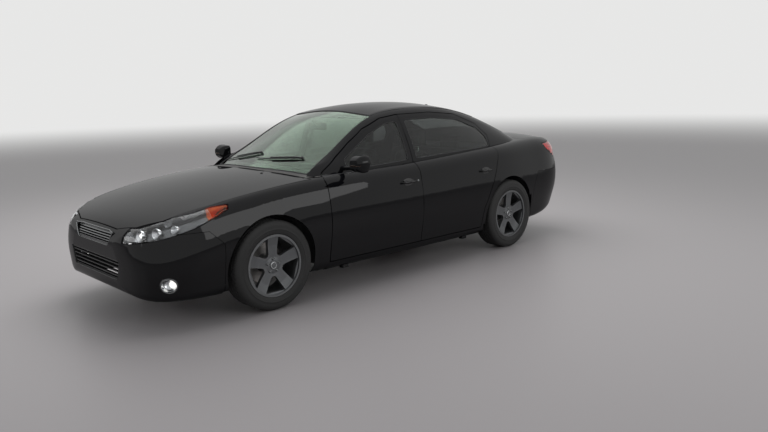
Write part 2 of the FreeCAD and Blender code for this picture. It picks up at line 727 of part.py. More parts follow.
def make_fender(shells):
    """Left front fender, a thin skin with a flange down beside the hood."""
    limits = box(FENDER_INNER_X, FAR, NOSE_Y, DOOR_FRONT_Y - SHUT_GAP, SILL_TOP - 55, FAR)
    block = shells.left_body.common(limits)
    edge = lid_prism(HOOD, "z", UPPER_RAIL_TOP + SEAT_GAP, 1300, SHUT_GAP + FENDER_THICKNESS)
    edge = edge.common(box(FENDER_INNER_X, FAR, NOSE_Y + 690, HOOD_CORNER_Y - 5, -FAR, FAR)).common(block)
    skin = block.cut(shells.fender_in)
    fender = skin.fuse(edge).cut([
        hood_room(),
        box(-FAR, INNER_X + SEAT_GAP, HOOD_CORNER_Y - 20, FAR, 600, FAR),
        shells.left_glass,
        region(HEADLAMP, HEADLAMP_INNER_X, LAMP_GAP),
        region(FRONT_BUMPER, -FAR, LAMP_GAP),
        arch(FRONT_AXLE_Y, ARCH_RADIUS, 500, FAR),
    ])
    return largest(fender)


def grille_opening(corners, grow=0.0):
    """Prism through the nose for the grille or the lower intake."""
    full = corners + [(-a, b) for a, b in reversed(corners)]
    return prism(offset_polygon(full, grow), "y", NOSE_Y - 100, NOSE_Y + 200, 22 + grow)


def make_front_bumper(shells):
    """Front bumper cover with the openings for the grille, the intake and the fog lamps."""
    nose = box(-HEADLAMP_INNER_X, HEADLAMP_INNER_X, NOSE_Y - 50, NOSE_Y + 160, 500, FAR)
    cover = wall(shells.body, shells.body_in, region(FRONT_BUMPER, -FAR).fuse(nose))
    cutters = [grille_opening(GRILLE), grille_opening(INTAKE), hood_room()]
    cutters.append(box(-560, 560, NOSE_Y + 190, FAR, -FAR, 300))
    lamp = region(HEADLAMP, HEADLAMP_INNER_X, LAMP_GAP)
    fog = fog_lamp_cylinder(FOG_LAMP_RADIUS + SEAT_GAP)
    wheel = arch(FRONT_AXLE_Y, ARCH_RADIUS, 500, FAR)
    for cutter in (lamp, fog, wheel):
        cutters += [cutter, mirrored(cutter)]
    return cover.cut(cutters)


def fog_lamp_cylinder(radius):
    """Left fog lamp's bore, square to the bumper's corner."""
    x, y, z = FOG_LAMP_AT
    start = V(x, y, z) - FOG_LAMP_AXIS * 75
    return Part.makeCylinder(radius, 200, start, FOG_LAMP_AXIS)


def make_lamp(shells, outline, inner_x, keep_out):
    """Left lamp: its lens in the skin's opening and a wider housing seated behind the skin."""
    face = wall(shells.lamp_face, shells.left_seat, region(outline, inner_x))
    housing = wall(shells.left_seat, shells.lamp_back, region(outline, inner_x, LAMP_LAP))
    return face.fuse(housing).cut(keep_out)


def make_fog_lamp(shells):
    """Left fog lamp in the bumper's round opening."""
    return wall(shells.lamp_face, shells.lamp_back, fog_lamp_cylinder(FOG_LAMP_RADIUS))


def make_grille():
    """Grille and lower intake: a frame and level bars that follow the nose."""
    outside, inside = body_loft(8.0), body_loft(30.0)
    pieces = []
    for corners, count in ((GRILLE, GRILLE_BARS), (INTAKE, INTAKE_BARS)):
        outer = grille_opening(corners, -SEAT_GAP)
        inner = grille_opening(corners, -GRILLE_RIM)
        low, high = corners[0][1], corners[1][1]
        bars = [outer.cut(inner)]
        for i in range(1, count + 1):
            z = low + (high - low) * i / (count + 1)
            bars.append(box(-FAR, FAR, -FAR, FAR, z - GRILLE_BAR / 2, z + GRILLE_BAR / 2).common(outer))
        pieces.append(wall(outside, inside, bars[0].fuse(bars[1:])))
    return pieces


def make_rear_bumper(shells):
    """Rear bumper cover."""
    cover = wall(shells.body, shells.body_in, region(REAR_BUMPER, -FAR))
    cutters = [box(-620, 620, -FAR, TAIL_Y - 190, -FAR, 320)]
    cutters.append(box(TAIL_PIPE_X - 42, TAIL_PIPE_X + 42, -FAR, FAR, -FAR, TAIL_PIPE_Z + 42))
    for cutter in (arch(REAR_AXLE_Y, ARCH_RADIUS, 500, FAR), region(TAIL_LAMP, TAIL_LAMP_INNER_X, LAMP_GAP)):
        cutters += [cutter, mirrored(cutter)]
    return cover.cut(cutters)


def gooseneck(x, pivot, points, bore):
    """Curved lid hinge arm in a plane across the car, bored for its pin."""
    centre = V(x - LID_ARM_WIDTH / 2, pivot[0], pivot[1])
    parts = [Part.makeCylinder(LID_EYE_RADIUS, LID_ARM_WIDTH, centre, V(1, 0, 0))]
    route = [pivot] + [(pivot[0] + a, pivot[1] + b) for a, b in points]
    for a, b in zip(route, route[1:]):
        (uy, uz), length = unit(a, b)
        sy, sz = -uz * LID_ARM_DEPTH / 2, uy * LID_ARM_DEPTH / 2
        corners = [(a[0] + sy, a[1] + sz), (a[0] - sy, a[1] - sz), (b[0] - sy, b[1] - sz), (b[0] + sy, b[1] + sz)]
        parts.append(prism(corners, "x", x - LID_ARM_WIDTH / 2, x + LID_ARM_WIDTH / 2))
        parts.append(Part.makeCylinder(LID_ARM_DEPTH / 2, LID_ARM_WIDTH, V(centre.x, b[0], b[1]), V(1, 0, 0)))
    arm = parts[0].fuse(parts[1:])
    return arm.cut(cylinder_x(bore, x - 40, x + 40, pivot[0], pivot[1]))


def make_hood(shells):
    """Hood skin with its two gooseneck hinge arms."""
    panel = wall(shells.body, shells.body_in, lid_prism(HOOD, "z", HOOD_LOW_Z, 1300, 0))
    panel = panel.cut(shells.body_edge.common(box(-FAR, FAR, HOOD_REAR_Y - 45, FAR, HOOD_LOW_Z, FAR)))
    arm = gooseneck(HOOD_ARM_X, HOOD_PIVOT, HOOD_ARM, HOOD_PIN_RADIUS + RUNNING_GAP)
    arm = arm.common(shells.fender_in)
    return panel.fuse([arm, mirrored(arm)])


def make_lid(shells):
    """Boot lid with its two gooseneck hinge arms."""
    zone = lid_prism(LID, "y", LID_FRONT_Y, FAR, 0)
    edge = box(-FAR, FAR, -FAR, LID_FRONT_Y + 45, 900, FAR)
    cutters = [shells.body_in, glass_loft(PANEL_THICKNESS)]
    cutters += [shells.body_edge.common(edge), glass_loft(LID_EDGE).common(edge)]
    panel = shells.body.common(zone).fuse(shells.glass.common(zone)).cut(cutters)
    arm = gooseneck(LID_ARM_X, LID_PIVOT, LID_ARM, HOOD_PIN_RADIUS + RUNNING_GAP)
    arm = arm.cut(box(-FAR, FAR, LID_FRONT_Y, FAR, 900, FAR).cut(shells.fender_in))
    return panel.fuse([arm, mirrored(arm)])


def make_roof(shells):
    """Roof panel between the roof rails and the two screens."""
    zone = box(-ROOF_SPLIT_X, ROOF_SPLIT_X, ROOF_FRONT_Y, ROOF_REAR_Y, 1000, FAR)
    panel = wall(shells.glass, shells.glass_in, zone)
    return panel.cut([lid_prism(WINDSCREEN, "z", 500, 2000, 0), lid_prism(REAR_SCREEN, "z", 500, 2000, 0)])


def make_firewall(shells):
    """Firewall plate with the cowl that carries the foot of the windscreen."""
    plate = box(-INNER_X, INNER_X, FIREWALL_Y - 12, FIREWALL_Y, FLOOR_Z, 960)
    plate = plate.common(shells.body_in)
    plate = plate.cut(box(-TUNNEL_HALF, TUNNEL_HALF, -FAR, FAR, 0, TUNNEL_TOP - SHEET))
    zone = box(-INNER_X, INNER_X, HOOD_REAR_Y - 60, COWL_REAR_Y, 700, FAR)
    cowl = wall(shells.body, shells.body_in, zone).cut(lid_prism(HOOD, "z", HOOD_LOW_Z, 1300, COWL_GAP))
    arm_edge = HOOD_ARM_X - LID_ARM_WIDTH / 2 - 8
    arm_room = box(arm_edge, FAR, -FAR, HOOD_PIVOT[0] + LID_EYE_RADIUS + 8, 700, FAR)
    door_room = slanted_prism(FRONT_DOOR, SHUT_GAP).common(box(DOOR_CORNER_X - SHUT_GAP, FAR, -FAR, FAR, 750, FAR))
    front = plate.fuse(cowl)
    return front.cut([arm_room, mirrored(arm_room), door_room, mirrored(door_room)])


def make_floor():
    """Cabin floor: a pressed plate with its tunnel, kicked up under the rear seat."""
    low, kick = FLOOR_Z, KICK_Z
    profile = [
        (FIREWALL_Y, low),
        (KICK_Y, low),
        (KICK_Y + 60, kick),
        (SEAT_BACK_Y, kick),
        (SEAT_BACK_Y, kick + SHEET),
        (KICK_Y + 60 - 8, kick + SHEET),
        (KICK_Y - 8, low + SHEET),
        (FIREWALL_Y, low + SHEET),
    ]
    plate = prism(profile, "x", -INNER_X, INNER_X)
    plate = plate.cut(arch(REAR_AXLE_Y, LINER_RADIUS + LINER_THICKNESS + SEAT_GAP, 640, FAR))
    plate = plate.cut(arch(REAR_AXLE_Y, LINER_RADIUS + LINER_THICKNESS + SEAT_GAP, -FAR, -640))
    half, top = TUNNEL_HALF, TUNNEL_TOP
    hollow = box(-half + SHEET, half - SHEET, FIREWALL_Y - 1, KICK_Y + 80, 0, top - SHEET)
    cover = [(-half, low), (-half + 25, top), (half - 25, top), (half, low)]
    tunnel = prism(cover, "y", FIREWALL_Y, KICK_Y + 50)
    return plate.fuse(tunnel).cut(hollow)


def make_trunk_floor(shells):
    """Boot floor with its spare wheel well, heel board and rear wall."""
    z = TRUNK_FLOOR_Z
    floor = box(-FAR, FAR, SEAT_BACK_Y, TAIL_Y - 90, z, z + SHEET)
    heel = box(-QUARTER_INNER_X, QUARTER_INNER_X, SEAT_BACK_Y, SEAT_BACK_Y + SHEET, KICK_Z, z + SHEET)
    wall = box(-FAR, FAR, TAIL_Y - 90 - SHEET, TAIL_Y - 90, z, LID[0][1] - 10)
    well_y = REAR_AXLE_Y + 690
    well = vertical(320, 0, well_y, z - 130, z + SHEET).cut(vertical(308, 0, well_y, z - 118, z + SHEET))
    rim = vertical(308, 0, well_y, z - 50, z + SHEET)
    tub = floor.cut(rim).fuse([heel, wall, well.cut(rim)]).common(shells.body_seat)
    for side in (1, -1):
        house = arch(REAR_AXLE_Y, LINER_RADIUS + LINER_THICKNESS + SEAT_GAP, QUARTER_INNER_X - SEAT_GAP, FAR)
        tub = tub.cut(house if side > 0 else mirrored(house))
        block = box(QUARTER_INNER_X, FAR, -FAR, REAR_AXLE_Y, 0, FAR)
        tub = tub.cut(block if side > 0 else mirrored(block))
    return tub


def make_rear_shelf(shells):
    """Parcel shelf, seat bulkhead, rear deck strip and the boot lid's hinge brackets."""
    zone = box(-DECK_HALF, DECK_HALF, DECK_FRONT_Y, LID_FRONT_Y - LID_GAP, 900, FAR)
    deck = wall(shells.body, shells.body_in, zone).cut(shells.glass_in)
    strip = wall(shells.glass, shells.glass_in, zone).fuse(deck).cut([
        lid_prism(REAR_SCREEN, "z", 500, 2000, 0),
        lid_room(),
    ])
    shelf_z = SHELF_Z
    shelf = box(-SHELF_HALF, SHELF_HALF, SEAT_BACK_Y, DECK_FRONT_Y + 18, shelf_z - 15, shelf_z)
    rise = box(-SHELF_HALF, SHELF_HALF, DECK_FRONT_Y, DECK_FRONT_Y + 18, shelf_z - 15, 1300)
    rise = rise.common(shells.glass_in)
    bulkhead = box(-SHELF_HALF, SHELF_HALF, SEAT_BACK_Y, SEAT_BACK_Y + 12, TRUNK_FLOOR_Z + SHEET, shelf_z)
    parts = [shelf, rise, bulkhead]
    y, z = LID_PIVOT
    inner = LID_ARM_X - LID_ARM_WIDTH / 2 - 2
    room = [(y + a, z + b) for a, b in LID_ARM_ROOM]
    pocket = prism(room, "x", inner, LID_ARM_X + LID_ARM_WIDTH / 2 + 6)
    strip = strip.cut([pocket, mirrored(pocket)])
    for side in (1, -1):
        ear = box(inner - 8, inner, DECK_FRONT_Y, y + 11, z - 13, 1300).common(shells.glass)
        ear = ear.cut(lid_prism(REAR_SCREEN, "z", 500, 2000, 0))
        pin = cylinder_x(HOOD_PIN_RADIUS, inner - 2, LID_ARM_X + LID_ARM_WIDTH / 2 + 3, y, z)
        for piece in (ear, pin):
            parts.append(piece if side > 0 else mirrored(piece))
    return strip.fuse(parts)


def make_liners(shells):
    """Wheel arch liners: two over the steered wheels, two closed wheelhouses at the back."""
    pieces = []
    outer = LINER_RADIUS + LINER_THICKNESS
    above = box(-FAR, FAR, -FAR, FAR, WHEEL_Z - 60, FAR)
    for y, inner_x in ((FRONT_AXLE_Y, LINER_INNER_X), (REAR_AXLE_Y, QUARTER_INNER_X)):
        band = arch(y, outer, inner_x, LINER_OUTER_X).cut(arch(y, LINER_RADIUS, 0, FAR))
        if y == REAR_AXLE_Y:
            house = arch(y, outer, inner_x, inner_x + LINER_THICKNESS)
            band = band.fuse(house.common(box(-FAR, FAR, -FAR, FAR, TRUNK_FLOOR_Z, FAR)))
        band = band.common(above).common(shells.fender_seat if y < 0 else shells.left_seat)
        if y == FRONT_AXLE_Y:
            band = band.cut(wall(shells.left_body, shells.left_seat, region(FRONT_BUMPER, 0.0, SEAT_GAP)))
        pieces += [band, mirrored(band)]
    return pieces


def steer_axis():
    """A point on the left steering axis, low down, and the axis direction, upwards."""
    angle = math.radians(STEER_INCLINATION)
    return V(BALL_X, FRONT_AXLE_Y, BALL_Z), V(-math.sin(angle), 0, math.cos(angle))


def along_axis(height):
    """Point of the left steering axis at a height."""
    foot, way = steer_axis()
    return foot + way * ((height - foot.z) / way.z)


def make_front_frame(shells):
    """Front rails, bumper beam, radiator support, strut towers and upper rails in one welded frame."""
    nose = NOSE_Y + PANEL_THICKNESS + SEAT_GAP
    beam = box(-430, 430, nose, NOSE_Y + 110, BEAM_Z[0], BEAM_Z[1])
    parts = [beam.common(shells.body_seat)]
    parts.append(box(-RAIL_X[1], RAIL_X[1], NOSE_Y + 90, NOSE_Y + 150, BEAM_Z[0], BEAM_Z[1]))
    parts.append(box(-RAIL_X[0], RAIL_X[0], RADIATOR_Y, RADIATOR_Y + 50, 270, 700))
    lamp_zone = region(HEADLAMP, HEADLAMP_INNER_X, LAMP_LAP + SEAT_GAP)
    lamp_room = wall(shells.left_seat, body_loft(LAMP_DEPTH + SEAT_GAP), lamp_zone)
    upper = box(0, 760, RADIATOR_Y, RADIATOR_Y + 40, 700, 730)
    upper = upper.fuse([
        box(UPPER_RAIL_X[0], UPPER_RAIL_X[1], RADIATOR_Y, POST_FRONT_Y, 748, UPPER_RAIL_TOP),
        box(UPPER_RAIL_X[0], 760, RADIATOR_Y, RADIATOR_Y + 40, 700, UPPER_RAIL_TOP),
    ])
    upper = upper.common(shells.left_seat).cut(lamp_room)
    y0, y1 = FRONT_AXLE_Y - 80, FRONT_AXLE_Y + 80
    web = [(RAIL_X[1] - 10, RAIL_Z[1] - 5), (RAIL_X[1] - 10, TOWER_Z + 5), (560, TOWER_Z + 5)]
    pieces = [
        upper,
        box(RAIL_X[0], RAIL_X[1], NOSE_Y + 90, FIREWALL_Y - 12, RAIL_Z[0], RAIL_Z[1]),
        box(RAIL_X[1] - 10, RAIL_X[1], y0, y1, RAIL_Z[1] - 5, TOWER_Z + 12),
        box(RAIL_X[1] - 10, UPPER_RAIL_X[0] + 5, y0, y1, TOWER_Z, TOWER_Z + 12),
        prism(web, "y", y0, y0 + 8),
        prism(web, "y", y1 - 8, y1),
    ]
    parts += pieces + [mirrored(piece) for piece in pieces]
    _, way = steer_axis()
    hole = Part.makeCylinder(STRUT_STUD_RADIUS + RUNNING_GAP, 120, along_axis(TOWER_Z) - way * 50, way)
    return parts[0].fuse(parts[1:]).cut([hole, mirrored(hole)])


def make_front_suspension():
    """Subframe, lower arms with their ball pins, and the steering rack."""
    y, foot = FRONT_AXLE_Y, BALL_Z
    parts = [box(-RAIL_X[0], RAIL_X[0], y - 70, y + 90, 215, 275)]
    parts.append(cylinder_x(24, -380, 380, y + 130, 300))
    parts.append(box(-300, -240, y + 80, y + 140, 260, 300))
    parts.append(box(240, 300, y + 80, y + 140, 260, 300))
    for side in (1, -1):
        start, way = steer_axis()
        pieces = [box(RAIL_X[0] - 60, RAIL_X[1] - 10, y - 50, y + 50, 260, RAIL_Z[0])]
        pieces.append(rod([(RAIL_X[0] - 20, y - 60, 232), (BALL_X, y, foot - 32)], 14))
        pieces.append(rod([(RAIL_X[0] - 20, y + 75, 232), (BALL_X, y, foot - 32)], 14))
        pieces.append(vertical(20, BALL_X, y, foot - 46, foot - 14))
        pieces.append(Part.makeCylinder(BALL_PIN_RADIUS, 60, start - way * 20, way))
        parts += [p if side > 0 else mirrored(p) for p in pieces]
    return parts[0].fuse(parts[1:])


def caliper(y, reach):
    """Left brake caliper with the slot that its disc turns in."""
    x0, x1 = DISC_X - 15, DISC_X + DISC_THICKNESS + 15
    body = prism([(y + 96, WHEEL_Z - 55), (y + 96, WHEEL_Z + 55), (y + 150, WHEEL_Z + 55),
                  (y + 176, WHEEL_Z + 35), (y + 176, WHEEL_Z - 35), (y + 150, WHEEL_Z - 55)], "x", x0, x1, 8)
    slot = arch(y, DISC_RADIUS + 4, DISC_X - 4, DISC_X + DISC_THICKNESS + 4)
    bracket = box(reach, UPRIGHT_X[1], y, y + 130, WHEEL_Z - 26, WHEEL_Z + 26)
    bridge = box(reach, x0 + 4, y + 100, y + 130, WHEEL_Z - 26, WHEEL_Z + 26)
    return [body.cut(slot), bracket, bridge]


def spindle(y):
    """Left stub axle that a wheel turns on."""
    return arch(y, SPINDLE_RADIUS, UPRIGHT_X[0], SPINDLE_END_X)


def make_knuckle():
    """Left steering knuckle: upright, spindle, caliper, steering arm and strut."""
    y = FRONT_AXLE_Y
    _, way = steer_axis()
    socket, clamp = along_axis(BALL_Z + 14), along_axis(430)
    parts = [rod([tuple(socket), (UPRIGHT_X[0] + 15, y, WHEEL_Z), tuple(clamp)], 20)]
    parts.append(Part.makeCylinder(21, 36, along_axis(BALL_Z) - way * 2, way))
    parts.append(arch(y, 46, UPRIGHT_X[0], UPRIGHT_X[1]))
    parts.append(spindle(y))
    parts += caliper(y, UPRIGHT_X[0])
    low, top = along_axis(415), along_axis(TOWER_Z - 17)
    parts.append(Part.makeCylinder(23, (top - low).Length, low, way))
    seat = along_axis(TOWER_Z - 62)
    parts.append(Part.makeCylinder(48, (top - seat).Length, seat, way))
    parts.append(Part.makeCylinder(STRUT_STUD_RADIUS, 50, top - way * 5, way))
    parts.append(rod([(UPRIGHT_X[0] + 20, y, 290), (UPRIGHT_X[0] - 20, y + 118, 285)], 13))
    knuckle = parts[0].fuse(parts[1:])
    foot, way = steer_axis()
    socket_bore = Part.makeCylinder(BALL_PIN_RADIUS + RUNNING_GAP, 75, foot - way * 30, way)
    return knuckle.cut(socket_bore)


def make_rear_axle():
    """Twist beam rear axle: beam, trailing arms, spindles, calipers, springs and dampers."""
    y = REAR_AXLE_Y
    parts = [cylinder_x(30, -620, 620, y - 60, 335)]
    for side in (1, -1):
        pieces = [rod([(600, y - 440, 260), (600, y - 60, 325), (660, y, WHEEL_Z)], 27)]
        pieces.append(arch(y, 46, UPRIGHT_X[0] - 30, UPRIGHT_X[1]))
        pieces.append(spindle(y))
        pieces += caliper(y, UPRIGHT_X[0])
        pieces.append(vertical(45, 560, y - 60, 300, TRUNK_FLOOR_Z - SEAT_GAP))
        pieces.append(box(540, 640, y - 455, y - 405, 235, KICK_Z - SEAT_GAP))
        parts += [p if side > 0 else mirrored(p) for p in pieces]
    return parts[0].fuse(parts[1:])


def make_tyre(x, y):
    """Tyre with bulged walls and rounded shoulders."""
    w, r, bore = TYRE_WIDTH / 2, TYRE_DIAMETER / 2, RIM_DIAMETER / 2 + SEAT_GAP
    bead = w - 18
    half = [(bead, bore), (bead, bore + 9), (w, bore + 45), (w - 2, r - 32), (w - 28, r)]
    corners = [(-a, b) for a, b in half] + half[::-1]
    cuts = [0, 0, 20, 16, 12, 12, 16, 20, 0, 0]
    wire = rounded_wire(corners, cuts, lambda p: V(x + p[0], y, WHEEL_Z + p[1]))
    return Part.Face(wire).revolve(V(x, y, WHEEL_Z), V(1, 0, 0), 360)


def make_wheel(x, y):
    """Left wheel: alloy rim with five spokes, hub and brake disc, bored for its spindle."""
    r = RIM_DIAMETER / 2
    w = TYRE_WIDTH / 2 - 18 + SEAT_GAP
    face = RIM_FACE_X - x
    profile = [
        (-w - 8, r + 8), (-w, r + 8), (-w, r), (w, r), (w, r + 8), (w + 8, r + 8),
        (w + 8, r - RIM_WALL), (face + 4, r - RIM_WALL), (face - 8, 150), (face - 14, 62), (face - 10, 40), (face - 10, 0),
        (HUB_START_X - x, 0), (HUB_START_X - x, HUB_RADIUS), (DISC_X - x, HUB_RADIUS),
        (DISC_X - x, DISC_RADIUS), (DISC_X - x + DISC_THICKNESS, DISC_RADIUS),
        (DISC_X - x + DISC_THICKNESS, 72), (face - 48, 72), (face - 44, 100), (face - 36, 150), (face - 30, r - RIM_WALL),
        (-w - 8, r - RIM_WALL),
    ]
    wheel = revolve_x([(x + a, b) for a, b in profile], y, WHEEL_Z)
    step = 2 * math.pi / SPOKE_COUNT
    for i in range(SPOKE_COUNT):
        turn = math.pi / 2 + (i + 0.5) * step
        corners = []
        for radius, half in ((82.0, 16.0), (r - 24, 88.0)):
            for sign in (1, -1):
                side = half * (sign if radius < 100 else -sign)
                corners.append((y + radius * math.cos(turn) - side * math.sin(turn),
                                WHEEL_Z + radius * math.sin(turn) + side * math.cos(turn)))
        window = prism(corners, "x", RIM_FACE_X - 60, FAR, 13)
        wheel = wheel.cut(window)
    return wheel.cut(arch(y, SPINDLE_RADIUS + RUNNING_GAP, DISC_X - 40, SPINDLE_END_X + 3))


def make_engine():
    """Engine and gearbox as one block on its two mounts."""
    y0, y1 = RADIATOR_Y + 190, FIREWALL_Y - 190
    profile = [(y0, 330), (y1, 330), (y1, 640), (y1 - 120, 760), (y0 + 60, 760), (y0, 680)]
    block = prism(profile, "x", -320, 300, 30)
    ears = box(-RAIL_X[0] + SEAT_GAP, RAIL_X[0] - SEAT_GAP, FRONT_AXLE_Y - 160, FRONT_AXLE_Y - 60, 440, 500)
    return block.fuse(ears)


def make_exhaust():
    """Exhaust pipe along the tunnel, the silencer and the tail pipe."""
    y = REAR_AXLE_Y
    pipe = rod([(EXHAUST_X, FIREWALL_Y - 190, 340), (EXHAUST_X, FIREWALL_Y + 40, EXHAUST_Z),
                (EXHAUST_X, y + 150, EXHAUST_Z), (330, y + 420, 330), (380, y + 560, 330)], 27)
    front = box(EXHAUST_X - 40, EXHAUST_X + 40, FIREWALL_Y - 230, FIREWALL_Y - 189.6, 300, 380)
    can = prism([(335, 245), (335, 370), (600, 370), (600, 245)], "y", y + 520, y + 870, 45)
    low = TAIL_PIPE_Z
    tail = rod([(TAIL_PIPE_X, y + 850, low + 16), (TAIL_PIPE_X, TAIL_Y - 90, low), (TAIL_PIPE_X, TAIL_Y - 12, low)], 26)
    tail = tail.cut(cylinder_y(23, TAIL_PIPE_X, low, TAIL_Y - 85, TAIL_Y))
    hangers = [box(380, 420, y + 640, y + 660, 360, TRUNK_FLOOR_Z - SEAT_GAP)]
    hangers.append(box(EXHAUST_X - 8, EXHAUST_X + 8, -100, -80, EXHAUST_Z, TUNNEL_TOP - SHEET - SEAT_GAP))
    return pipe.fuse([can, tail] + hangers)


def make_fuel_tank():
    """Fuel tank under the rear seat."""
    top = KICK_Z - SEAT_GAP
    profile = [(KICK_Y + 75, 215), (SEAT_BACK_Y - 40, 215), (SEAT_BACK_Y - 25, top), (KICK_Y + 75, top)]
    return prism(profile, "x", -520, EXHAUST_X - 60, 25)


def make_dashboard():
    """Dashboard with its cowl over the dials, glove box front, column and centre console."""
    y = FIREWALL_Y + SEAT_GAP
    profile = [(y, 880), (y + 60, 935), (y + 250, 925), (y + 330, 880), (y + 335, 760), (y + 260, 640), (y + 180, 560), (y, 560)]
    body = prism(profile, "x", -DASH_HALF, DASH_HALF, 18)
    hood = prism([(y + 180, 880), (y + 200, 968), (y + 330, 965), (y + 372, 925), (y + 350, 870)], "x",
                 SEAT_CENTRE_X - 170, SEAT_CENTRE_X + 170, 16)
    dials = prism([(SEAT_CENTRE_X - 145, 812), (SEAT_CENTRE_X - 145, 925), (SEAT_CENTRE_X + 145, 925), (SEAT_CENTRE_X + 145, 812)],
                  "y", y + 315, y + 500, 40)
    stack = prism([(y + 150, 560), (y + 330, 800), (y + 358, 790), (y + 352, 600), (y + 380, 560),
                   (y + 380, 460), (y + 150, 460)], "x", -125, 125, 14)
    console = prism([(y + 60, TUNNEL_TOP + SEAT_GAP), (y + 60, 470), (y + 380, 500), (y + 520, 470),
                     (y + 700, 460), (y + 760, 560), (y + 1050, 560), (y + 1070, TUNNEL_TOP + SEAT_GAP)], "x", -88, 88, 16)
    lever = rod([(0, y + 480, 460), (0, y + 500, 600)], 9).fuse(vertical(20, 0, y + 500, 585, 628))
    centre, way = steering_line()
    column = Part.makeCylinder(34, 230, centre - way * 268, way)
    shaft = Part.makeCylinder(COLUMN_PIN_RADIUS, 60, centre - way * 60, way)
    stalks = [rod([tuple(centre - way * 75 + V(s * 20, 0, 0)), tuple(centre - way * 60 + V(s * 150, 0, 8))], 6) for s in (1, -1)]
    return body.fuse([hood.cut(dials), stack, console, lever, column, shaft] + stalks).cut(dials)


def steering_line():
    """Centre of the steering wheel and the column's direction, towards the driver."""
    angle = math.radians(COLUMN_ANGLE)
    return V(SEAT_CENTRE_X, FIREWALL_Y + 450, 800), V(0, math.cos(angle), math.sin(angle))


def make_steering_wheel():
    """Steering wheel: rim, three spokes and a hub bored for the column's pin."""
    centre, way = steering_line()
    rim = Part.makeTorus(STEERING_WHEEL_RADIUS, 15, centre, way)
    hub = Part.makeCylinder(62, 42, centre - way * 30, way)
    side = V(1, 0, 0)
    up = way.cross(side)
    up = up if up.z > 0 else up * -1
    parts = [hub]
    for spoke in (side, side * -1, up * -1):
        parts.append(rod([tuple(centre - way * 6 + spoke * 40), tuple(centre + spoke * STEERING_WHEEL_RADIUS)], 11))
    bore = Part.makeCylinder(COLUMN_PIN_RADIUS + RUNNING_GAP, 50, centre - way * 49, way)
    return rim.fuse(parts).cut(bore)


def make_front_seats():
    """Two front seats, each a cushion, a backrest and a headrest on a base."""
    seats = []
    y = FIREWALL_Y + 780
    for x in (SEAT_CENTRE_X, -SEAT_CENTRE_X):
        w = 250
        base = box(x - 190, x + 190, y + 40, y + 420, FLOOR_TOP + SEAT_GAP, 330)
        cushion = prism([(y, 330), (y, 450), (y + 60, 475), (y + 480, 440), (y + 500, 330)], "x", x - w, x + w, 28)
        back = prism([(y + 420, 400), (y + 560, 380), (y + 690, 980), (y + 590, 1010)], "x", x - w + 10, x + w - 10, 40)
        head = prism([(y + 596, 1045), (y + 700, 1040), (y + 722, 1185), (y + 640, 1200)], "x", x - 125, x + 125, 30)
        posts = [rod([(x + s * 60, y + 645, 970), (x + s * 60, y + 660, 1080)], 7) for s in (1, -1)]
        seats.append(base.fuse([cushion, back, head] + posts))
    return seats


def make_rear_seat():
    """Rear bench with its backrest and headrests."""
    y, z = KICK_Y + 60, KICK_Z + SHEET + SEAT_GAP
    cushion = prism([(y - 100, z), (y - 110, z + 110), (y - 60, z + 135), (y + 230, z + 100), (y + 230, z)], "x", -630, 630, 25)
    back = prism([(y + 90, z + 60), (SEAT_BACK_Y - SEAT_GAP, z + 20), (SEAT_BACK_Y - SEAT_GAP, 970), (y + 190, 1000)],
                 "x", -545, 545, 25)
    heads = []
    for x in (-330, 330):
        heads.append(prism([(y + 165, 985), (y + 212, 965), (y + 234, 1110), (y + 172, 1100)], "x", x - 120, x + 120, 14))
    return cushion.fuse([back] + heads)


def make_mirror():
    """Left door mirror: housing with its glass and the foot on the door."""
    y = DOOR_FRONT_Y + 225
    shape = [(MIRROR_X[0], MIRROR_Z - 58), (MIRROR_X[0] + 5, MIRROR_Z + 62), (MIRROR_X[1] - 25, MIRROR_Z + 72),
             (MIRROR_X[1], MIRROR_Z + 10), (MIRROR_X[1] - 30, MIRROR_Z - 62)]
    small = offset_polygon(shape, -32)
    wires = []
    for points, place_y, cut in ((small, y - 75, 14), (shape, y - 20, 26), (shape, y + 28, 26)):
        wires.append(rounded_wire(points, [cut] * len(points), lambda p, q=place_y: V(p[0], q, p[1])))
    housing = Part.makeLoft(wires, True, False)
    housing = housing.cut(prism(offset_polygon(shape, -9), "y", y + 18, y + 80, 20))
    foot = rod([(MIRROR_X[0] + 45, y, MIRROR_Z - 20), (MIRROR_X[0] - 165, y + 8, MIRROR_Z - 48)], 19)
    return housing.fuse(foot)


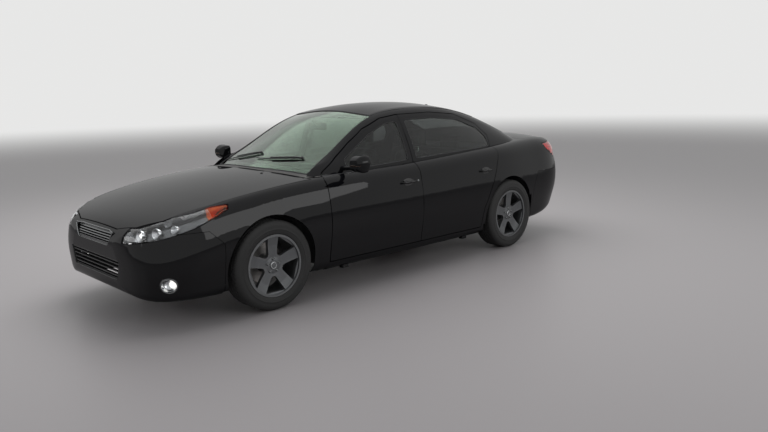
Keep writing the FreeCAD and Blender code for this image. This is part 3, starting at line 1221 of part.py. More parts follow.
def build():
    """Makes every node."""
    os.makedirs("parts", exist_ok=True)
    s = Shells()
    nodes = {}

    def pair(name, shape):
        nodes[name + "_left"] = [shape]
        nodes[name + "_right"] = [mirrored(shape)]

    def both(name, shape):
        nodes[name] = [shape, mirrored(shape)]

    front_pane = make_pane(s, FRONT_DOOR, FRONT_WINDOW_Y)
    rear_pane = make_pane(s, REAR_DOOR, REAR_WINDOW_Y)
    front_door = make_door(s, FRONT_DOOR, DOOR_FRONT_Y, FRONT_WINDOW_Y, B_LINE_Y)
    rear_door = make_door(s, REAR_DOOR, REAR_DOOR_FRONT_Y, REAR_WINDOW_Y, REAR_AXLE_Y - 230)
    pair("door_front", front_door)
    pair("door_rear", rear_door)
    pair("glass_front", front_pane)
    pair("glass_rear", rear_pane)
    pair("mirror", make_mirror().cut([s.body_over, glass_loft(-SEAT_GAP)]))
    both("side_frames", make_side_frame(s))
    nodes["roof_panel"] = [make_roof(s)]
    nodes["hood"] = [make_hood(s)]
    nodes["trunk_lid"] = [make_lid(s)]
    both("front_fenders", make_fender(s))
    nodes["front_bumper"] = [make_front_bumper(s)]
    nodes["rear_bumper"] = [make_rear_bumper(s)]
    nodes["grille"] = make_grille()
    both("headlamps", make_lamp(s, HEADLAMP, HEADLAMP_INNER_X, hood_room()))
    both("tail_lamps", make_lamp(s, TAIL_LAMP, TAIL_LAMP_INNER_X, lid_room()))
    both("fog_lamps", make_fog_lamp(s))
    screen = lid_prism(WINDSCREEN, "z", 500, 2000, -SEAT_GAP)
    nodes["windshield"] = [s.pane.common(screen)]
    nodes["rear_window"] = [s.pane.common(lid_prism(REAR_SCREEN, "z", 500, 2000, -SEAT_GAP))]
    nodes["firewall"] = [make_firewall(s)]
    nodes["floor_pan"] = [make_floor()]
    nodes["trunk_floor"] = [make_trunk_floor(s)]
    nodes["rear_shelf"] = [make_rear_shelf(s)]
    nodes["wheel_liners"] = make_liners(s)
    nodes["front_frame"] = [make_front_frame(s)]
    nodes["front_suspension"] = [make_front_suspension()]
    nodes["rear_axle"] = [make_rear_axle()]
    pair("knuckle", make_knuckle())
    for place, y in (("front", FRONT_AXLE_Y), ("rear", REAR_AXLE_Y)):
        pair("tyre_" + place, make_tyre(WHEEL_X, y))
        pair("wheel_" + place, make_wheel(WHEEL_X, y))
    nodes["engine"] = [make_engine()]
    nodes["exhaust"] = [make_exhaust()]
    nodes["fuel_tank"] = [make_fuel_tank()]
    nodes["dashboard"] = [make_dashboard()]
    nodes["steering_wheel"] = [make_steering_wheel()]
    nodes["front_seats"] = make_front_seats()
    nodes["rear_seat"] = [make_rear_seat()]
    for name, shapes in nodes.items():
        save(name, *shapes)
        faults = sum(1 for shape in shapes for solid in shape.Solids if not solid.isValid())
        count = sum(len(shape.Solids) for shape in shapes)
        volume = sum(shape.Volume for shape in shapes) / 1e6
        print(f"{name}: {count} solids, {volume:.2f} litres, {faults} faulty")


if __name__ == "__main__":
    build()
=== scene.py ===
"""Look of a black four-door sedan: finishes, lamps, tyres, cabin, engine bay, studio and camera."""

import logging
import math
from dataclasses import dataclass, field
from enum import Enum
from typing import Callable, Dict, Iterable, List, Optional, Sequence, Tuple

import bmesh
import bpy
from mathutils import Matrix, Vector
from mathutils.bvhtree import BVHTree


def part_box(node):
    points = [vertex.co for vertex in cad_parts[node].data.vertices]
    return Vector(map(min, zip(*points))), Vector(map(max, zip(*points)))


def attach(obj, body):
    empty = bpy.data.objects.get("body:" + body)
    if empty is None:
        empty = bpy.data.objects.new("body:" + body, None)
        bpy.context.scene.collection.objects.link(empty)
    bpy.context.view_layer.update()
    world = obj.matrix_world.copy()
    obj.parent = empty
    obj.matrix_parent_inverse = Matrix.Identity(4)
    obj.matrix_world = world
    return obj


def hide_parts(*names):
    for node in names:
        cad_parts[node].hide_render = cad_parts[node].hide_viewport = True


LOG = logging.getLogger("sedan")
Triple = Tuple[float, float, float]

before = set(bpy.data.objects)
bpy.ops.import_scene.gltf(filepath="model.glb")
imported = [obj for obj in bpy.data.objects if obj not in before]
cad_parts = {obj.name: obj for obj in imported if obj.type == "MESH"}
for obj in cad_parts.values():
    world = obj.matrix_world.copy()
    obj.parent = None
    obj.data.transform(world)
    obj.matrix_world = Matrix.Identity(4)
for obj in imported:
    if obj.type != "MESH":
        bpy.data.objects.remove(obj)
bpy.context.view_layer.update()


class Side(Enum):
    """The car's own left and right, as the sign of X."""

    LEFT = 1
    RIGHT = -1

    @property
    def tag(self) -> str:
        """Name of the side as the CAD nodes spell it."""
        return self.name.lower()


class Kind(Enum):
    """How a finish is made."""

    PAINT = "paint"
    MOULDED = "moulded"
    METAL = "metal"
    CLOTH = "cloth"
    GLASS = "glass"
    LIGHT = "light"


class NodeGroups:
    """Shader node groups that several finishes share, each made once."""

    def __init__(self) -> None:
        """Starts with no group made."""
        self.made: Dict[str, bpy.types.NodeTree] = {}

    def get(self, name: str) -> bpy.types.NodeTree:
        """Gives a group, making it the first time.

        Args:
            name: One of the group builders below.

        Returns:
            The node group.
        """
        if name not in self.made:
            self.made[name] = getattr(self, "make_" + name)()
        return self.made[name]

    def start(
        self, name: str, inputs: Sequence[Tuple[str, str, object]], outputs: Sequence[Tuple[str, str]]
    ) -> Tuple[bpy.types.NodeTree, bpy.types.Node, bpy.types.Node]:
        """Makes an empty group with its sockets.

        Args:
            name: The group's name.
            inputs: Name, kind and default of each input.
            outputs: Name and kind of each output.

        Returns:
            The tree, its input node and its output node.
        """
        tree = bpy.data.node_groups.new(name, "ShaderNodeTree")
        for label, kind, default in inputs:
            socket = tree.interface.new_socket(name=label, in_out="INPUT", socket_type="NodeSocket" + kind)
            socket.default_value = default
        for label, kind in outputs:
            tree.interface.new_socket(name=label, in_out="OUTPUT", socket_type="NodeSocket" + kind)
        return tree, tree.nodes.new("NodeGroupInput"), tree.nodes.new("NodeGroupOutput")

    def make_tone_drift(self) -> bpy.types.NodeTree:
        """Slow change of tone and gloss, as handling and cleaning leave it.

        Returns:
            Group with Colour and Roughness in and out.
        """
        tree, give, take = self.start(
            "tone_drift",
            [("Colour", "Color", (0.5, 0.5, 0.5, 1)), ("Roughness", "Float", 0.5), ("Spread", "Float", 0.1),
             ("Scale", "Float", 6.0)],
            [("Colour", "Color"), ("Roughness", "Float")],
        )
        place = tree.nodes.new("ShaderNodeTexCoord")
        noise = tree.nodes.new("ShaderNodeTexNoise")
        noise.inputs["Detail"].default_value = 5
        tree.links.new(place.outputs["Object"], noise.inputs["Vector"])
        tree.links.new(give.outputs["Scale"], noise.inputs["Scale"])
        centred = tree.nodes.new("ShaderNodeMath")
        centred.operation = "SUBTRACT"
        centred.inputs[1].default_value = 0.5
        tree.links.new(noise.outputs["Fac"], centred.inputs[0])
        swing = tree.nodes.new("ShaderNodeMath")
        swing.operation = "MULTIPLY"
        tree.links.new(centred.outputs[0], swing.inputs[0])
        tree.links.new(give.outputs["Spread"], swing.inputs[1])
        lift = tree.nodes.new("ShaderNodeMath")
        lift.operation = "ADD"
        lift.inputs[1].default_value = 1.0
        tree.links.new(swing.outputs[0], lift.inputs[0])
        tone = tree.nodes.new("ShaderNodeHueSaturation")
        tree.links.new(give.outputs["Colour"], tone.inputs["Color"])
        tree.links.new(lift.outputs[0], tone.inputs["Value"])
        gloss = tree.nodes.new("ShaderNodeMath")
        gloss.operation = "ADD"
        gloss.use_clamp = True
        tree.links.new(give.outputs["Roughness"], gloss.inputs[0])
        tree.links.new(swing.outputs[0], gloss.inputs[1])
        tree.links.new(tone.outputs["Color"], take.inputs["Colour"])
        tree.links.new(gloss.outputs[0], take.inputs["Roughness"])
        return tree

    def make_moulded_grain(self) -> bpy.types.NodeTree:
        """Pebbled grain of moulded plastic, leather or cast metal.

        Returns:
            Group with Scale in and Height out.
        """
        tree, give, take = self.start(
            "moulded_grain", [("Scale", "Float", 400.0)], [("Height", "Float")]
        )
        place = tree.nodes.new("ShaderNodeTexCoord")
        cells = tree.nodes.new("ShaderNodeTexVoronoi")
        cells.feature = "SMOOTH_F1"
        fine = tree.nodes.new("ShaderNodeTexNoise")
        fine.inputs["Detail"].default_value = 4
        both = tree.nodes.new("ShaderNodeMath")
        both.operation = "ADD"
        for texture in (cells, fine):
            tree.links.new(place.outputs["Object"], texture.inputs["Vector"])
            tree.links.new(give.outputs["Scale"], texture.inputs["Scale"])
        tree.links.new(cells.outputs["Distance"], both.inputs[0])
        tree.links.new(fine.outputs["Fac"], both.inputs[1])
        tree.links.new(both.outputs[0], take.inputs["Height"])
        return tree

    def make_woven_cloth(self) -> bpy.types.NodeTree:
        """Plain weave of two threads.

        Returns:
            Group with Thread, Ground and Scale in, Colour and Height out.
        """
        tree, give, take = self.start(
            "woven_cloth",
            [("Thread", "Color", (0.1, 0.1, 0.1, 1)), ("Ground", "Color", (0.05, 0.05, 0.05, 1)),
             ("Scale", "Float", 300.0)],
            [("Colour", "Color"), ("Height", "Float")],
        )
        place = tree.nodes.new("ShaderNodeTexCoord")
        waves = []
        for turn in (math.radians(45), math.radians(-45)):
            tilt = tree.nodes.new("ShaderNodeMapping")
            tilt.inputs["Rotation"].default_value = (turn, turn, turn)
            wave = tree.nodes.new("ShaderNodeTexWave")
            wave.inputs["Distortion"].default_value = 0.6
            tree.links.new(place.outputs["Object"], tilt.inputs["Vector"])
            tree.links.new(tilt.outputs["Vector"], wave.inputs["Vector"])
            tree.links.new(give.outputs["Scale"], wave.inputs["Scale"])
            waves.append(wave)
        cross = tree.nodes.new("ShaderNodeMath")
        cross.operation = "MULTIPLY"
        tree.links.new(waves[0].outputs["Fac"], cross.inputs[0])
        tree.links.new(waves[1].outputs["Fac"], cross.inputs[1])
        blend = tree.nodes.new("ShaderNodeMix")
        blend.data_type = "RGBA"
        tree.links.new(cross.outputs[0], blend.inputs["Factor"])
        tree.links.new(give.outputs["Ground"], blend.inputs["A"])
        tree.links.new(give.outputs["Thread"], blend.inputs["B"])
        tree.links.new(blend.outputs["Result"], take.inputs["Colour"])
        tree.links.new(cross.outputs[0], take.inputs["Height"])
        return tree

    def make_edge_wear(self) -> bpy.types.NodeTree:
        """Paler colour along rubbed edges.

        Returns:
            Group with Colour, Worn and Amount in and Colour out.
        """
        tree, give, take = self.start(
            "edge_wear",
            [("Colour", "Color", (0.1, 0.1, 0.1, 1)), ("Worn", "Color", (0.5, 0.5, 0.5, 1)),
             ("Amount", "Float", 0.3)],
            [("Colour", "Color")],
        )
        shape = tree.nodes.new("ShaderNodeNewGeometry")
        pick = tree.nodes.new("ShaderNodeMapRange")
        pick.inputs["From Min"].default_value = 0.52
        pick.inputs["From Max"].default_value = 0.62
        part = tree.nodes.new("ShaderNodeMath")
        part.operation = "MULTIPLY"
        blend = tree.nodes.new("ShaderNodeMix")
        blend.data_type = "RGBA"
        tree.links.new(shape.outputs["Pointiness"], pick.inputs["Value"])
        tree.links.new(pick.outputs["Result"], part.inputs[0])
        tree.links.new(give.outputs["Amount"], part.inputs[1])
        tree.links.new(part.outputs[0], blend.inputs["Factor"])
        tree.links.new(give.outputs["Colour"], blend.inputs["A"])
        tree.links.new(give.outputs["Worn"], blend.inputs["B"])
        tree.links.new(blend.outputs["Result"], take.inputs["Colour"])
        return tree

    def make_road_dust(self) -> bpy.types.NodeTree:
        """Thin dust that thickens towards the road.

        Returns:
            Group with Colour, Dust, Top and Amount in, Colour and Mask out.
        """
        tree, give, take = self.start(
            "road_dust",
            [("Colour", "Color", (0.1, 0.1, 0.1, 1)), ("Dust", "Color", (0.3, 0.28, 0.25, 1)),
             ("Top", "Float", 0.6), ("Amount", "Float", 0.1)],
            [("Colour", "Color"), ("Mask", "Float")],
        )
        place = tree.nodes.new("ShaderNodeTexCoord")
        axes = tree.nodes.new("ShaderNodeSeparateXYZ")
        fall = tree.nodes.new("ShaderNodeMapRange")
        fall.inputs["To Min"].default_value = 1.0
        fall.inputs["To Max"].default_value = 0.0
        noise = tree.nodes.new("ShaderNodeTexNoise")
        noise.inputs["Scale"].default_value = 14
        noise.inputs["Detail"].default_value = 6
        both = tree.nodes.new("ShaderNodeMath")
        both.operation = "MULTIPLY"
        part = tree.nodes.new("ShaderNodeMath")
        part.operation = "MULTIPLY"
        blend = tree.nodes.new("ShaderNodeMix")
        blend.data_type = "RGBA"
        tree.links.new(place.outputs["Object"], axes.inputs[0])
        tree.links.new(place.outputs["Object"], noise.inputs["Vector"])
        tree.links.new(axes.outputs["Z"], fall.inputs["Value"])
        tree.links.new(give.outputs["Top"], fall.inputs["From Max"])
        tree.links.new(fall.outputs["Result"], both.inputs[0])
        tree.links.new(noise.outputs["Fac"], both.inputs[1])
        tree.links.new(both.outputs[0], part.inputs[0])
        tree.links.new(give.outputs["Amount"], part.inputs[1])
        tree.links.new(part.outputs[0], blend.inputs["Factor"])
        tree.links.new(give.outputs["Colour"], blend.inputs["A"])
        tree.links.new(give.outputs["Dust"], blend.inputs["B"])
        tree.links.new(blend.outputs["Result"], take.inputs["Colour"])
        tree.links.new(part.outputs[0], take.inputs["Mask"])
        return tree


GROUPS = NodeGroups()


@dataclass(frozen=True)
class Finish:
    """One finish of the car, made into a material the first time it is used."""

    name: str
    kind: Kind
    colour: Triple
    roughness: float = 0.5
    metallic: float = 0.0
    grain: float = 350.0
    depth: float = 0.15
    second: Triple = (0.3, 0.28, 0.25)
    amount: float = 0.15
    spread: float = 0.15
    coat: float = 0.0
    glow: float = 0.0

    def material(self) -> bpy.types.Material:
        """Gives the finish's material.

        Returns:
            The material, made once.
        """
        found = bpy.data.materials.get(self.name)
        if found:
            return found
        material = bpy.data.materials.new(self.name)
        material.use_nodes = True
        tree = material.node_tree
        shader = tree.nodes["Principled BSDF"]
        shader.inputs["Metallic"].default_value = self.metallic
        drift = self.group(tree, "tone_drift")
        drift.inputs["Colour"].default_value = (*self.colour, 1)
        drift.inputs["Roughness"].default_value = self.roughness
        drift.inputs["Spread"].default_value = self.spread
        colour = drift.outputs["Colour"]
        tree.links.new(drift.outputs["Roughness"], shader.inputs["Roughness"])
        height = None
        if self.kind is Kind.CLOTH:
            weave = self.group(tree, "woven_cloth")
            weave.inputs["Scale"].default_value = self.grain
            weave.inputs["Ground"].default_value = (*self.second, 1)
            tree.links.new(colour, weave.inputs["Thread"])
            colour, height = weave.outputs["Colour"], weave.outputs["Height"]
            shader.inputs["Sheen Weight"].default_value = 0.3
            shader.inputs["Sheen Roughness"].default_value = 0.5
        elif self.kind in (Kind.MOULDED, Kind.METAL):
            wear = self.group(tree, "edge_wear")
            wear.inputs["Worn"].default_value = (*self.second, 1)
            wear.inputs["Amount"].default_value = self.amount
            tree.links.new(colour, wear.inputs["Colour"])
            colour = wear.outputs["Colour"]
        if self.kind in (Kind.MOULDED, Kind.METAL, Kind.PAINT):
            grain = self.group(tree, "moulded_grain")
            grain.inputs["Scale"].default_value = self.grain
            height = grain.outputs["Height"]
        if self.kind in (Kind.PAINT, Kind.GLASS):
            dust = self.group(tree, "road_dust")
            dust.inputs["Dust"].default_value = (*self.second, 1)
            dust.inputs["Amount"].default_value = self.amount
            tree.links.new(colour, dust.inputs["Colour"])
            colour = dust.outputs["Colour"]
        if self.kind is Kind.PAINT:
            shader.inputs["Specular IOR Level"].default_value = 0.0
            shader.inputs["Coat Weight"].default_value = self.coat
            shader.inputs["Coat Roughness"].default_value = 0.02
        if self.kind is Kind.GLASS:
            shader.inputs["Transmission Weight"].default_value = 1.0
            shader.inputs["IOR"].default_value = 1.38
        # Emission: lamp light on the lit bulbs, painted glow on the reflectors, the needles and the dial
        # marks.
        if self.kind is Kind.LIGHT:
            tree.links.new(colour, shader.inputs["Emission Color"])
            shader.inputs["Emission Strength"].default_value = self.glow
        tree.links.new(colour, shader.inputs["Base Color"])
        if height is not None:
            bump = tree.nodes.new("ShaderNodeBump")
            bump.inputs["Strength"].default_value = self.depth
            bump.inputs["Distance"].default_value = 0.001
            tree.links.new(height, bump.inputs["Height"])
            tree.links.new(bump.outputs["Normal"], shader.inputs["Normal"])
        return material

    def group(self, tree: bpy.types.NodeTree, name: str) -> bpy.types.Node:
        """Places a shared node group in a material.

        Args:
            tree: The material's nodes.
            name: The group's name.

        Returns:
            The group node.
        """
        node = tree.nodes.new("ShaderNodeGroup")
        node.node_tree = GROUPS.get(name)
        return node


BODY_PAINT = Finish("black_body_paint", Kind.PAINT, (0.0045, 0.0045, 0.0055), 0.25, grain=55, depth=0.02,
                    second=(0.10, 0.095, 0.09), amount=0.03, spread=0.06, coat=0.5)
PRIMER = Finish("black_primer", Kind.MOULDED, (0.02, 0.02, 0.022), 0.55, grain=300, depth=0.08)
CABIN_TRIM = Finish("dark_cabin_plastic", Kind.MOULDED, (0.022, 0.022, 0.024), 0.52, grain=520, depth=0.25,
                    second=(0.08, 0.08, 0.08))
HEADLINER = Finish("grey_headliner", Kind.CLOTH, (0.17, 0.165, 0.16), 0.9, grain=420, depth=0.4,
                   second=(0.12, 0.117, 0.114))
CARPET = Finish("black_carpet", Kind.CLOTH, (0.03, 0.03, 0.032), 0.95, grain=260, depth=0.9,
                second=(0.012, 0.012, 0.013))
SEAT_CLOTH = Finish("charcoal_seat_cloth", Kind.CLOTH, (0.055, 0.055, 0.06), 0.85, grain=330, depth=0.6,
                    second=(0.022, 0.022, 0.025))
SEAT_SIDE = Finish("black_seat_leather", Kind.MOULDED, (0.016, 0.016, 0.018), 0.42, grain=260, depth=0.3,
                   second=(0.06, 0.06, 0.06))
STITCH = Finish("grey_stitching", Kind.CLOTH, (0.22, 0.22, 0.23), 0.8, grain=600, depth=0.5,
                second=(0.12, 0.12, 0.13))
RUBBER = Finish("black_rubber", Kind.MOULDED, (0.009, 0.009, 0.01), 0.62, grain=420, depth=0.2,
                second=(0.03, 0.03, 0.03))
TYRE_RUBBER = Finish("tyre_rubber", Kind.MOULDED, (0.013, 0.013, 0.013), 0.72, grain=500, depth=0.35,
                     second=(0.05, 0.048, 0.045), amount=0.3)
BLACK_PLASTIC = Finish("satin_black_plastic", Kind.MOULDED, (0.011, 0.011, 0.012), 0.4, grain=480, depth=0.18,
                       second=(0.05, 0.05, 0.05))
GLOSS_BLACK = Finish("gloss_black_plastic", Kind.PAINT, (0.004, 0.004, 0.004), 0.2, grain=60, depth=0.01,
                     amount=0.02, spread=0.03, coat=1.0)
ALLOY = Finish("painted_alloy", Kind.METAL, (0.125, 0.13, 0.135), 0.38, 0.7, grain=900, depth=0.05,
               second=(0.3, 0.3, 0.3), amount=0.2)
DISC_STEEL = Finish("brake_disc_steel", Kind.METAL, (0.30, 0.29, 0.28), 0.38, 0.95, grain=700, depth=0.2,
                    second=(0.25, 0.17, 0.12))
CAST_STEEL = Finish("cast_steel", Kind.METAL, (0.09, 0.09, 0.09), 0.6, 0.6, grain=160, depth=0.4,
                    second=(0.2, 0.15, 0.11))
CAST_ALLOY = Finish("cast_alloy", Kind.METAL, (0.30, 0.30, 0.30), 0.5, 0.8, grain=190, depth=0.4,
                    second=(0.5, 0.5, 0.5))
PIPE_STEEL = Finish("heated_pipe_steel", Kind.METAL, (0.33, 0.30, 0.27), 0.42, 0.9, grain=90, depth=0.2,
                    second=(0.4, 0.28, 0.18))
BRIGHT = Finish("bright_trim", Kind.METAL, (0.62, 0.63, 0.64), 0.14, 1.0, grain=40, depth=0.01, amount=0.1,
                spread=0.05)
DARK_CHROME = Finish("dark_chrome", Kind.METAL, (0.14, 0.145, 0.15), 0.22, 1.0, grain=60, depth=0.02,
                     amount=0.1,
                     spread=0.06)
MIRROR = Finish("mirror_silver", Kind.METAL, (0.8, 0.81, 0.82), 0.04, 1.0, grain=20, depth=0.0, amount=0.0,
                spread=0.02)
SCREEN_GLASS = Finish("green_tinted_glass", Kind.GLASS, (0.30, 0.42, 0.32), 0.03, spread=0.02, amount=0.03)
DARK_GLASS = Finish("privacy_glass", Kind.GLASS, (0.26, 0.28, 0.275), 0.03, spread=0.02, amount=0.03)
CLEAR_LENS = Finish("clear_lens", Kind.GLASS, (0.93, 0.94, 0.95), 0.04, spread=0.02, amount=0.05)
AMBER_LENS = Finish("amber_lens", Kind.GLASS, (0.95, 0.30, 0.05), 0.06, spread=0.03, amount=0.03)
RED_LENS = Finish("red_lens", Kind.GLASS, (0.75, 0.02, 0.02), 0.06, spread=0.03, amount=0.03)
# Amber reflector of the headlamps that emits a faint glow: painted glow standing in for the light it catches,
# not a lit lamp.
AMBER_GLOW = Finish("amber_reflector", Kind.LIGHT, (0.60, 0.15, 0.03), 0.3, spread=0.1, glow=0.05)
# Red that emits a faint glow, used on the tail lamp insides, the bumper reflectors and the dial needles:
# painted glow standing in for the light they catch.
RED_GLOW = Finish("red_reflector", Kind.LIGHT, (0.55, 0.01, 0.01), 0.3, spread=0.1, glow=0.25)
WHITE_GLOW = Finish("lit_bulb", Kind.LIGHT, (0.95, 0.93, 0.88), 0.2, spread=0.05, glow=1.2)
DIAL_FACE = Finish("dial_face", Kind.MOULDED, (0.01, 0.01, 0.012), 0.35, grain=500, depth=0.05)
# White dial marks that emit a faint glow: painted glow standing in for the light they catch.
DIAL_MARK = Finish("dial_marks", Kind.LIGHT, (0.75, 0.76, 0.78), 0.4, spread=0.05, glow=0.2)
SCREEN_FACE = Finish("blank_screen", Kind.PAINT, (0.006, 0.007, 0.009), 0.12, grain=30, depth=0.0, amount=0.0,
                     spread=0.03, coat=1.0)
PLATE_WHITE = Finish("blank_plate", Kind.MOULDED, (0.62, 0.62, 0.60), 0.35, grain=120, depth=0.05,
                     second=(0.45, 0.44, 0.42))


def new_mesh(
    name: str, points: Iterable[Sequence[float]], faces: Iterable[Sequence[int]], finish: Finish,
    smooth: bool = True
) -> bpy.types.Object:
    """Makes a mesh object in the car's frame.

    Args:
        name: The piece's name.
        points: Vertices, in metres.
        faces: Vertex numbers of each face.
        finish: Its finish.
        smooth: Whether its faces shade smoothly.

    Returns:
        The linked object.
    """
    mesh = bpy.data.meshes.new(name)
    mesh.from_pydata([tuple(p) for p in points], [], [tuple(f) for f in faces])
    mesh.materials.append(finish.material())
    if smooth:
        mesh.shade_smooth()
    piece = bpy.data.objects.new(name, mesh)
    bpy.context.scene.collection.objects.link(piece)
    return piece


def from_bmesh(name: str, work: bmesh.types.BMesh, finish: Finish, smooth: bool = True) -> bpy.types.Object:
    """Turns a bmesh into a linked object.

    Args:
        name: The piece's name.
        work: The bmesh, freed here.
        finish: Its finish.
        smooth: Whether its faces shade smoothly.

    Returns:
        The linked object.
    """
    mesh = bpy.data.meshes.new(name)
    work.to_mesh(mesh)
    work.free()
    mesh.materials.append(finish.material())
    if smooth:
        mesh.shade_smooth()
    piece = bpy.data.objects.new(name, mesh)
    bpy.context.scene.collection.objects.link(piece)
    return piece


def carry(piece: bpy.types.Object, body: str) -> bpy.types.Object:
    """Makes a piece ride on a body.

    Args:
        piece: The piece, already in place.
        body: The CAD body.

    Returns:
        The piece.
    """
    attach(piece, body)
    return piece


def tube(
    name: str, points: Sequence[Sequence[float]], radius: float, finish: Finish, closed: bool = False,
    smooth: bool = True,
) -> bpy.types.Object:
    """Makes a round bar or bead along points.

    Args:
        name: The piece's name.
        points: The route, in metres.
        radius: Half its thickness.
        finish: Its finish.
        closed: Whether it joins up.
        smooth: Whether the route is a smooth curve.

    Returns:
        The curve object.
    """
    curve = bpy.data.curves.new(name, "CURVE")
    curve.dimensions = "3D"
    curve.bevel_depth = radius
    curve.bevel_resolution = 3
    curve.use_fill_caps = True
    line = curve.splines.new("NURBS" if smooth else "POLY")
    line.points.add(len(points) - 1)
    for knot, point in zip(line.points, points):
        knot.co = (*point, 1.0)
    line.use_cyclic_u = closed
    if smooth:
        line.order_u = 3
        line.use_endpoint_u = not closed
        curve.resolution_u = 4
    curve.materials.append(finish.material())
    piece = bpy.data.objects.new(name, curve)
    bpy.context.scene.collection.objects.link(piece)
    return piece


def turned(
    name: str, profile: Sequence[Tuple[float, float]], centre: Sequence[float], axis: Sequence[float],
    finish: Finish, steps: int = 48,
) -> bpy.types.Object:
    """Turns a profile about an axis.

    Args:
        name: The piece's name.
        profile: Distance along the axis and radius of each point.
        centre: Where the axis starts.
        axis: Its direction.
        finish: The piece's finish.
        steps: Faces round the axis.

    Returns:
        The turned object.
    """
    turn = Vector(axis).normalized().to_track_quat("Z", "Y")
    points, faces = [], []
    for along, radius in profile:
        for k in range(steps):
            angle = 2 * math.pi * k / steps
            local = Vector((radius * math.cos(angle), radius * math.sin(angle), along))
            points.append(Vector(centre) + turn @ local)
    for row in range(len(profile) - 1):
        for k in range(steps):
            after = (k + 1) % steps
            faces.append((row * steps + k, row * steps + after, (row + 1) * steps + after,
                          (row + 1) * steps + k))
    piece = new_mesh(name, points, faces, finish)
    work = bmesh.new()
    work.from_mesh(piece.data)
    bmesh.ops.remove_doubles(work, verts=work.verts, dist=1e-6)
    bmesh.ops.recalc_face_normals(work, faces=work.faces)
    work.to_mesh(piece.data)
    work.free()
    return piece


def rounded_box(
    name: str, low: Sequence[float], high: Sequence[float], radius: float, finish: Finish, segments: int = 3
) -> bpy.types.Object:
    """Makes a moulded block with rounded edges.

    Args:
        name: The piece's name.
        low: Its lowest corner.
        high: Its highest corner.
        radius: Rounding of its edges.
        finish: Its finish.
        segments: Faces across each rounding.

    Returns:
        The block.
    """
    work = bmesh.new()
    middle = (Vector(low) + Vector(high)) / 2
    size = Vector(high) - Vector(low)
    bmesh.ops.create_cube(work, size=1.0)
    for corner in work.verts:
        corner.co = middle + Vector((corner.co.x * size.x, corner.co.y * size.y, corner.co.z * size.z))
    bmesh.ops.bevel(work, geom=list(work.edges), offset=min(radius, 0.45 * min(size)), segments=segments,
                    profile=0.6, affect="EDGES")
    return from_bmesh(name, work, finish)


def join(name: str, pieces: Sequence[bpy.types.Object]) -> bpy.types.Object:
    """Joins mesh pieces into one, keeping their finishes.

    Args:
        name: The joined piece's name.
        pieces: Mesh objects in the car's frame.

    Returns:
        The joined piece.
    """
    work = bmesh.new()
    materials: List[bpy.types.Material] = []
    for piece in pieces:
        start = len(work.faces)
        if piece.type == "CURVE":
            mesh = bpy.data.meshes.new_from_object(piece)
        else:
            mesh = piece.data
        work.from_mesh(mesh)
        work.faces.ensure_lookup_table()
        for face in work.faces[start:]:
            material = mesh.materials[face.material_index]
            if material not in materials:
                materials.append(material)
            face.material_index = materials.index(material)
            face.smooth = True
    mesh = bpy.data.meshes.new(name)
    work.to_mesh(mesh)
    work.free()
    for material in materials:
        mesh.materials.append(material)
    for piece in pieces:
        bpy.data.objects.remove(piece)
    whole = bpy.data.objects.new(name, mesh)
    bpy.context.scene.collection.objects.link(whole)
    return whole


class NodeSurface:
    """A CAD node's faces, for finding places on it and copying regions of it."""

    def __init__(self, node: str) -> None:
        """Reads the node's mesh.

        Args:
            node: The CAD node's name.
        """
        self.node = node
        self.work = bmesh.new()
        self.work.from_mesh(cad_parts[node].data)
        bmesh.ops.remove_doubles(self.work, verts=self.work.verts, dist=2e-5)
        self.work.faces.ensure_lookup_table()
        self.work.normal_update()
        self.tree = BVHTree.FromBMesh(self.work)

    def hit(self, start: Sequence[float], way: Sequence[float]) -> Tuple[Vector, Vector]:
        """Finds where a line meets the node.

        Args:
            start: The line's start.
            way: Its direction.

        Returns:
            The point met and the surface's normal there.

        Raises:
            ValueError: The line misses the node.
        """
        place, normal, _, _ = self.tree.ray_cast(Vector(start), Vector(way))
        if place is None:
            raise ValueError(f"a line from {tuple(start)} misses {self.node}")
        return place, normal

    def region(self, way: Sequence[float], side: int = 0, crease: float = 25.0) -> List[int]:
        """Finds the smooth region that faces a direction most.

        Args:
            way: The direction.
            side: 1 or -1 to look only on that side of the car, 0 for both.
            crease: Angle between faces, in degrees, at which a region ends.

        Returns:
            The region's face numbers.
        """
        limit = math.radians(crease)
        left = {f.index for f in self.work.faces if side == 0 or f.calc_center_median().x * side > 0}
        best, best_score = [], 0.0
        while left:
            first = left.pop()
            found, front = [first], [first]
            while front:
                face = self.work.faces[front.pop()]
                for edge in face.edges:
                    if len(edge.link_faces) != 2 or edge.calc_face_angle(0.0) > limit:
                        continue
                    for other in edge.link_faces:
                        if other.index in left:
                            left.remove(other.index)
                            found.append(other.index)
                            front.append(other.index)
            score = 0.0
            for number in found:
                face = self.work.faces[number]
                score += face.calc_area() * face.normal.dot(Vector(way).normalized())
            if score > best_score:
                best, best_score = found, score
        return best

    def copy(self, faces: Iterable[int]) -> bmesh.types.BMesh:
        """Copies some faces into a bmesh of their own.

        Args:
            faces: Face numbers.

        Returns:
            The new bmesh.
        """
        keep = set(faces)
        patch = self.work.copy()
        patch.faces.ensure_lookup_table()
        drop = [f for f in patch.faces if f.index not in keep]
        bmesh.ops.delete(patch, geom=drop, context="FACES")
        patch.normal_update()
        return patch

    def rims(self, faces: Iterable[int]) -> List[List[Vector]]:
        """Follows the border of a region.

        Args:
            faces: Face numbers.

        Returns:
            One closed loop of points for each border, the longest first.
        """
        patch = self.copy(faces)
        open_edges = {e for e in patch.edges if len(e.link_faces) == 1}
        loops = []
        while open_edges:
            edge = open_edges.pop()
            start, at = edge.verts
            loop = [start.co.copy()]
            while at is not start:
                loop.append(at.co.copy())
                following = [e for e in at.link_edges if e in open_edges]
                if not following:
                    break
                open_edges.remove(following[0])
                at = following[0].other_vert(at)
            loops.append(loop)
        patch.free()
        return sorted(loops, key=loop_length, reverse=True)


def loop_length(loop: Sequence[Vector]) -> float:
    """Length of a closed loop of points, in metres."""
    return sum((a - b).length for a, b in zip(loop, list(loop[1:]) + [loop[0]]))


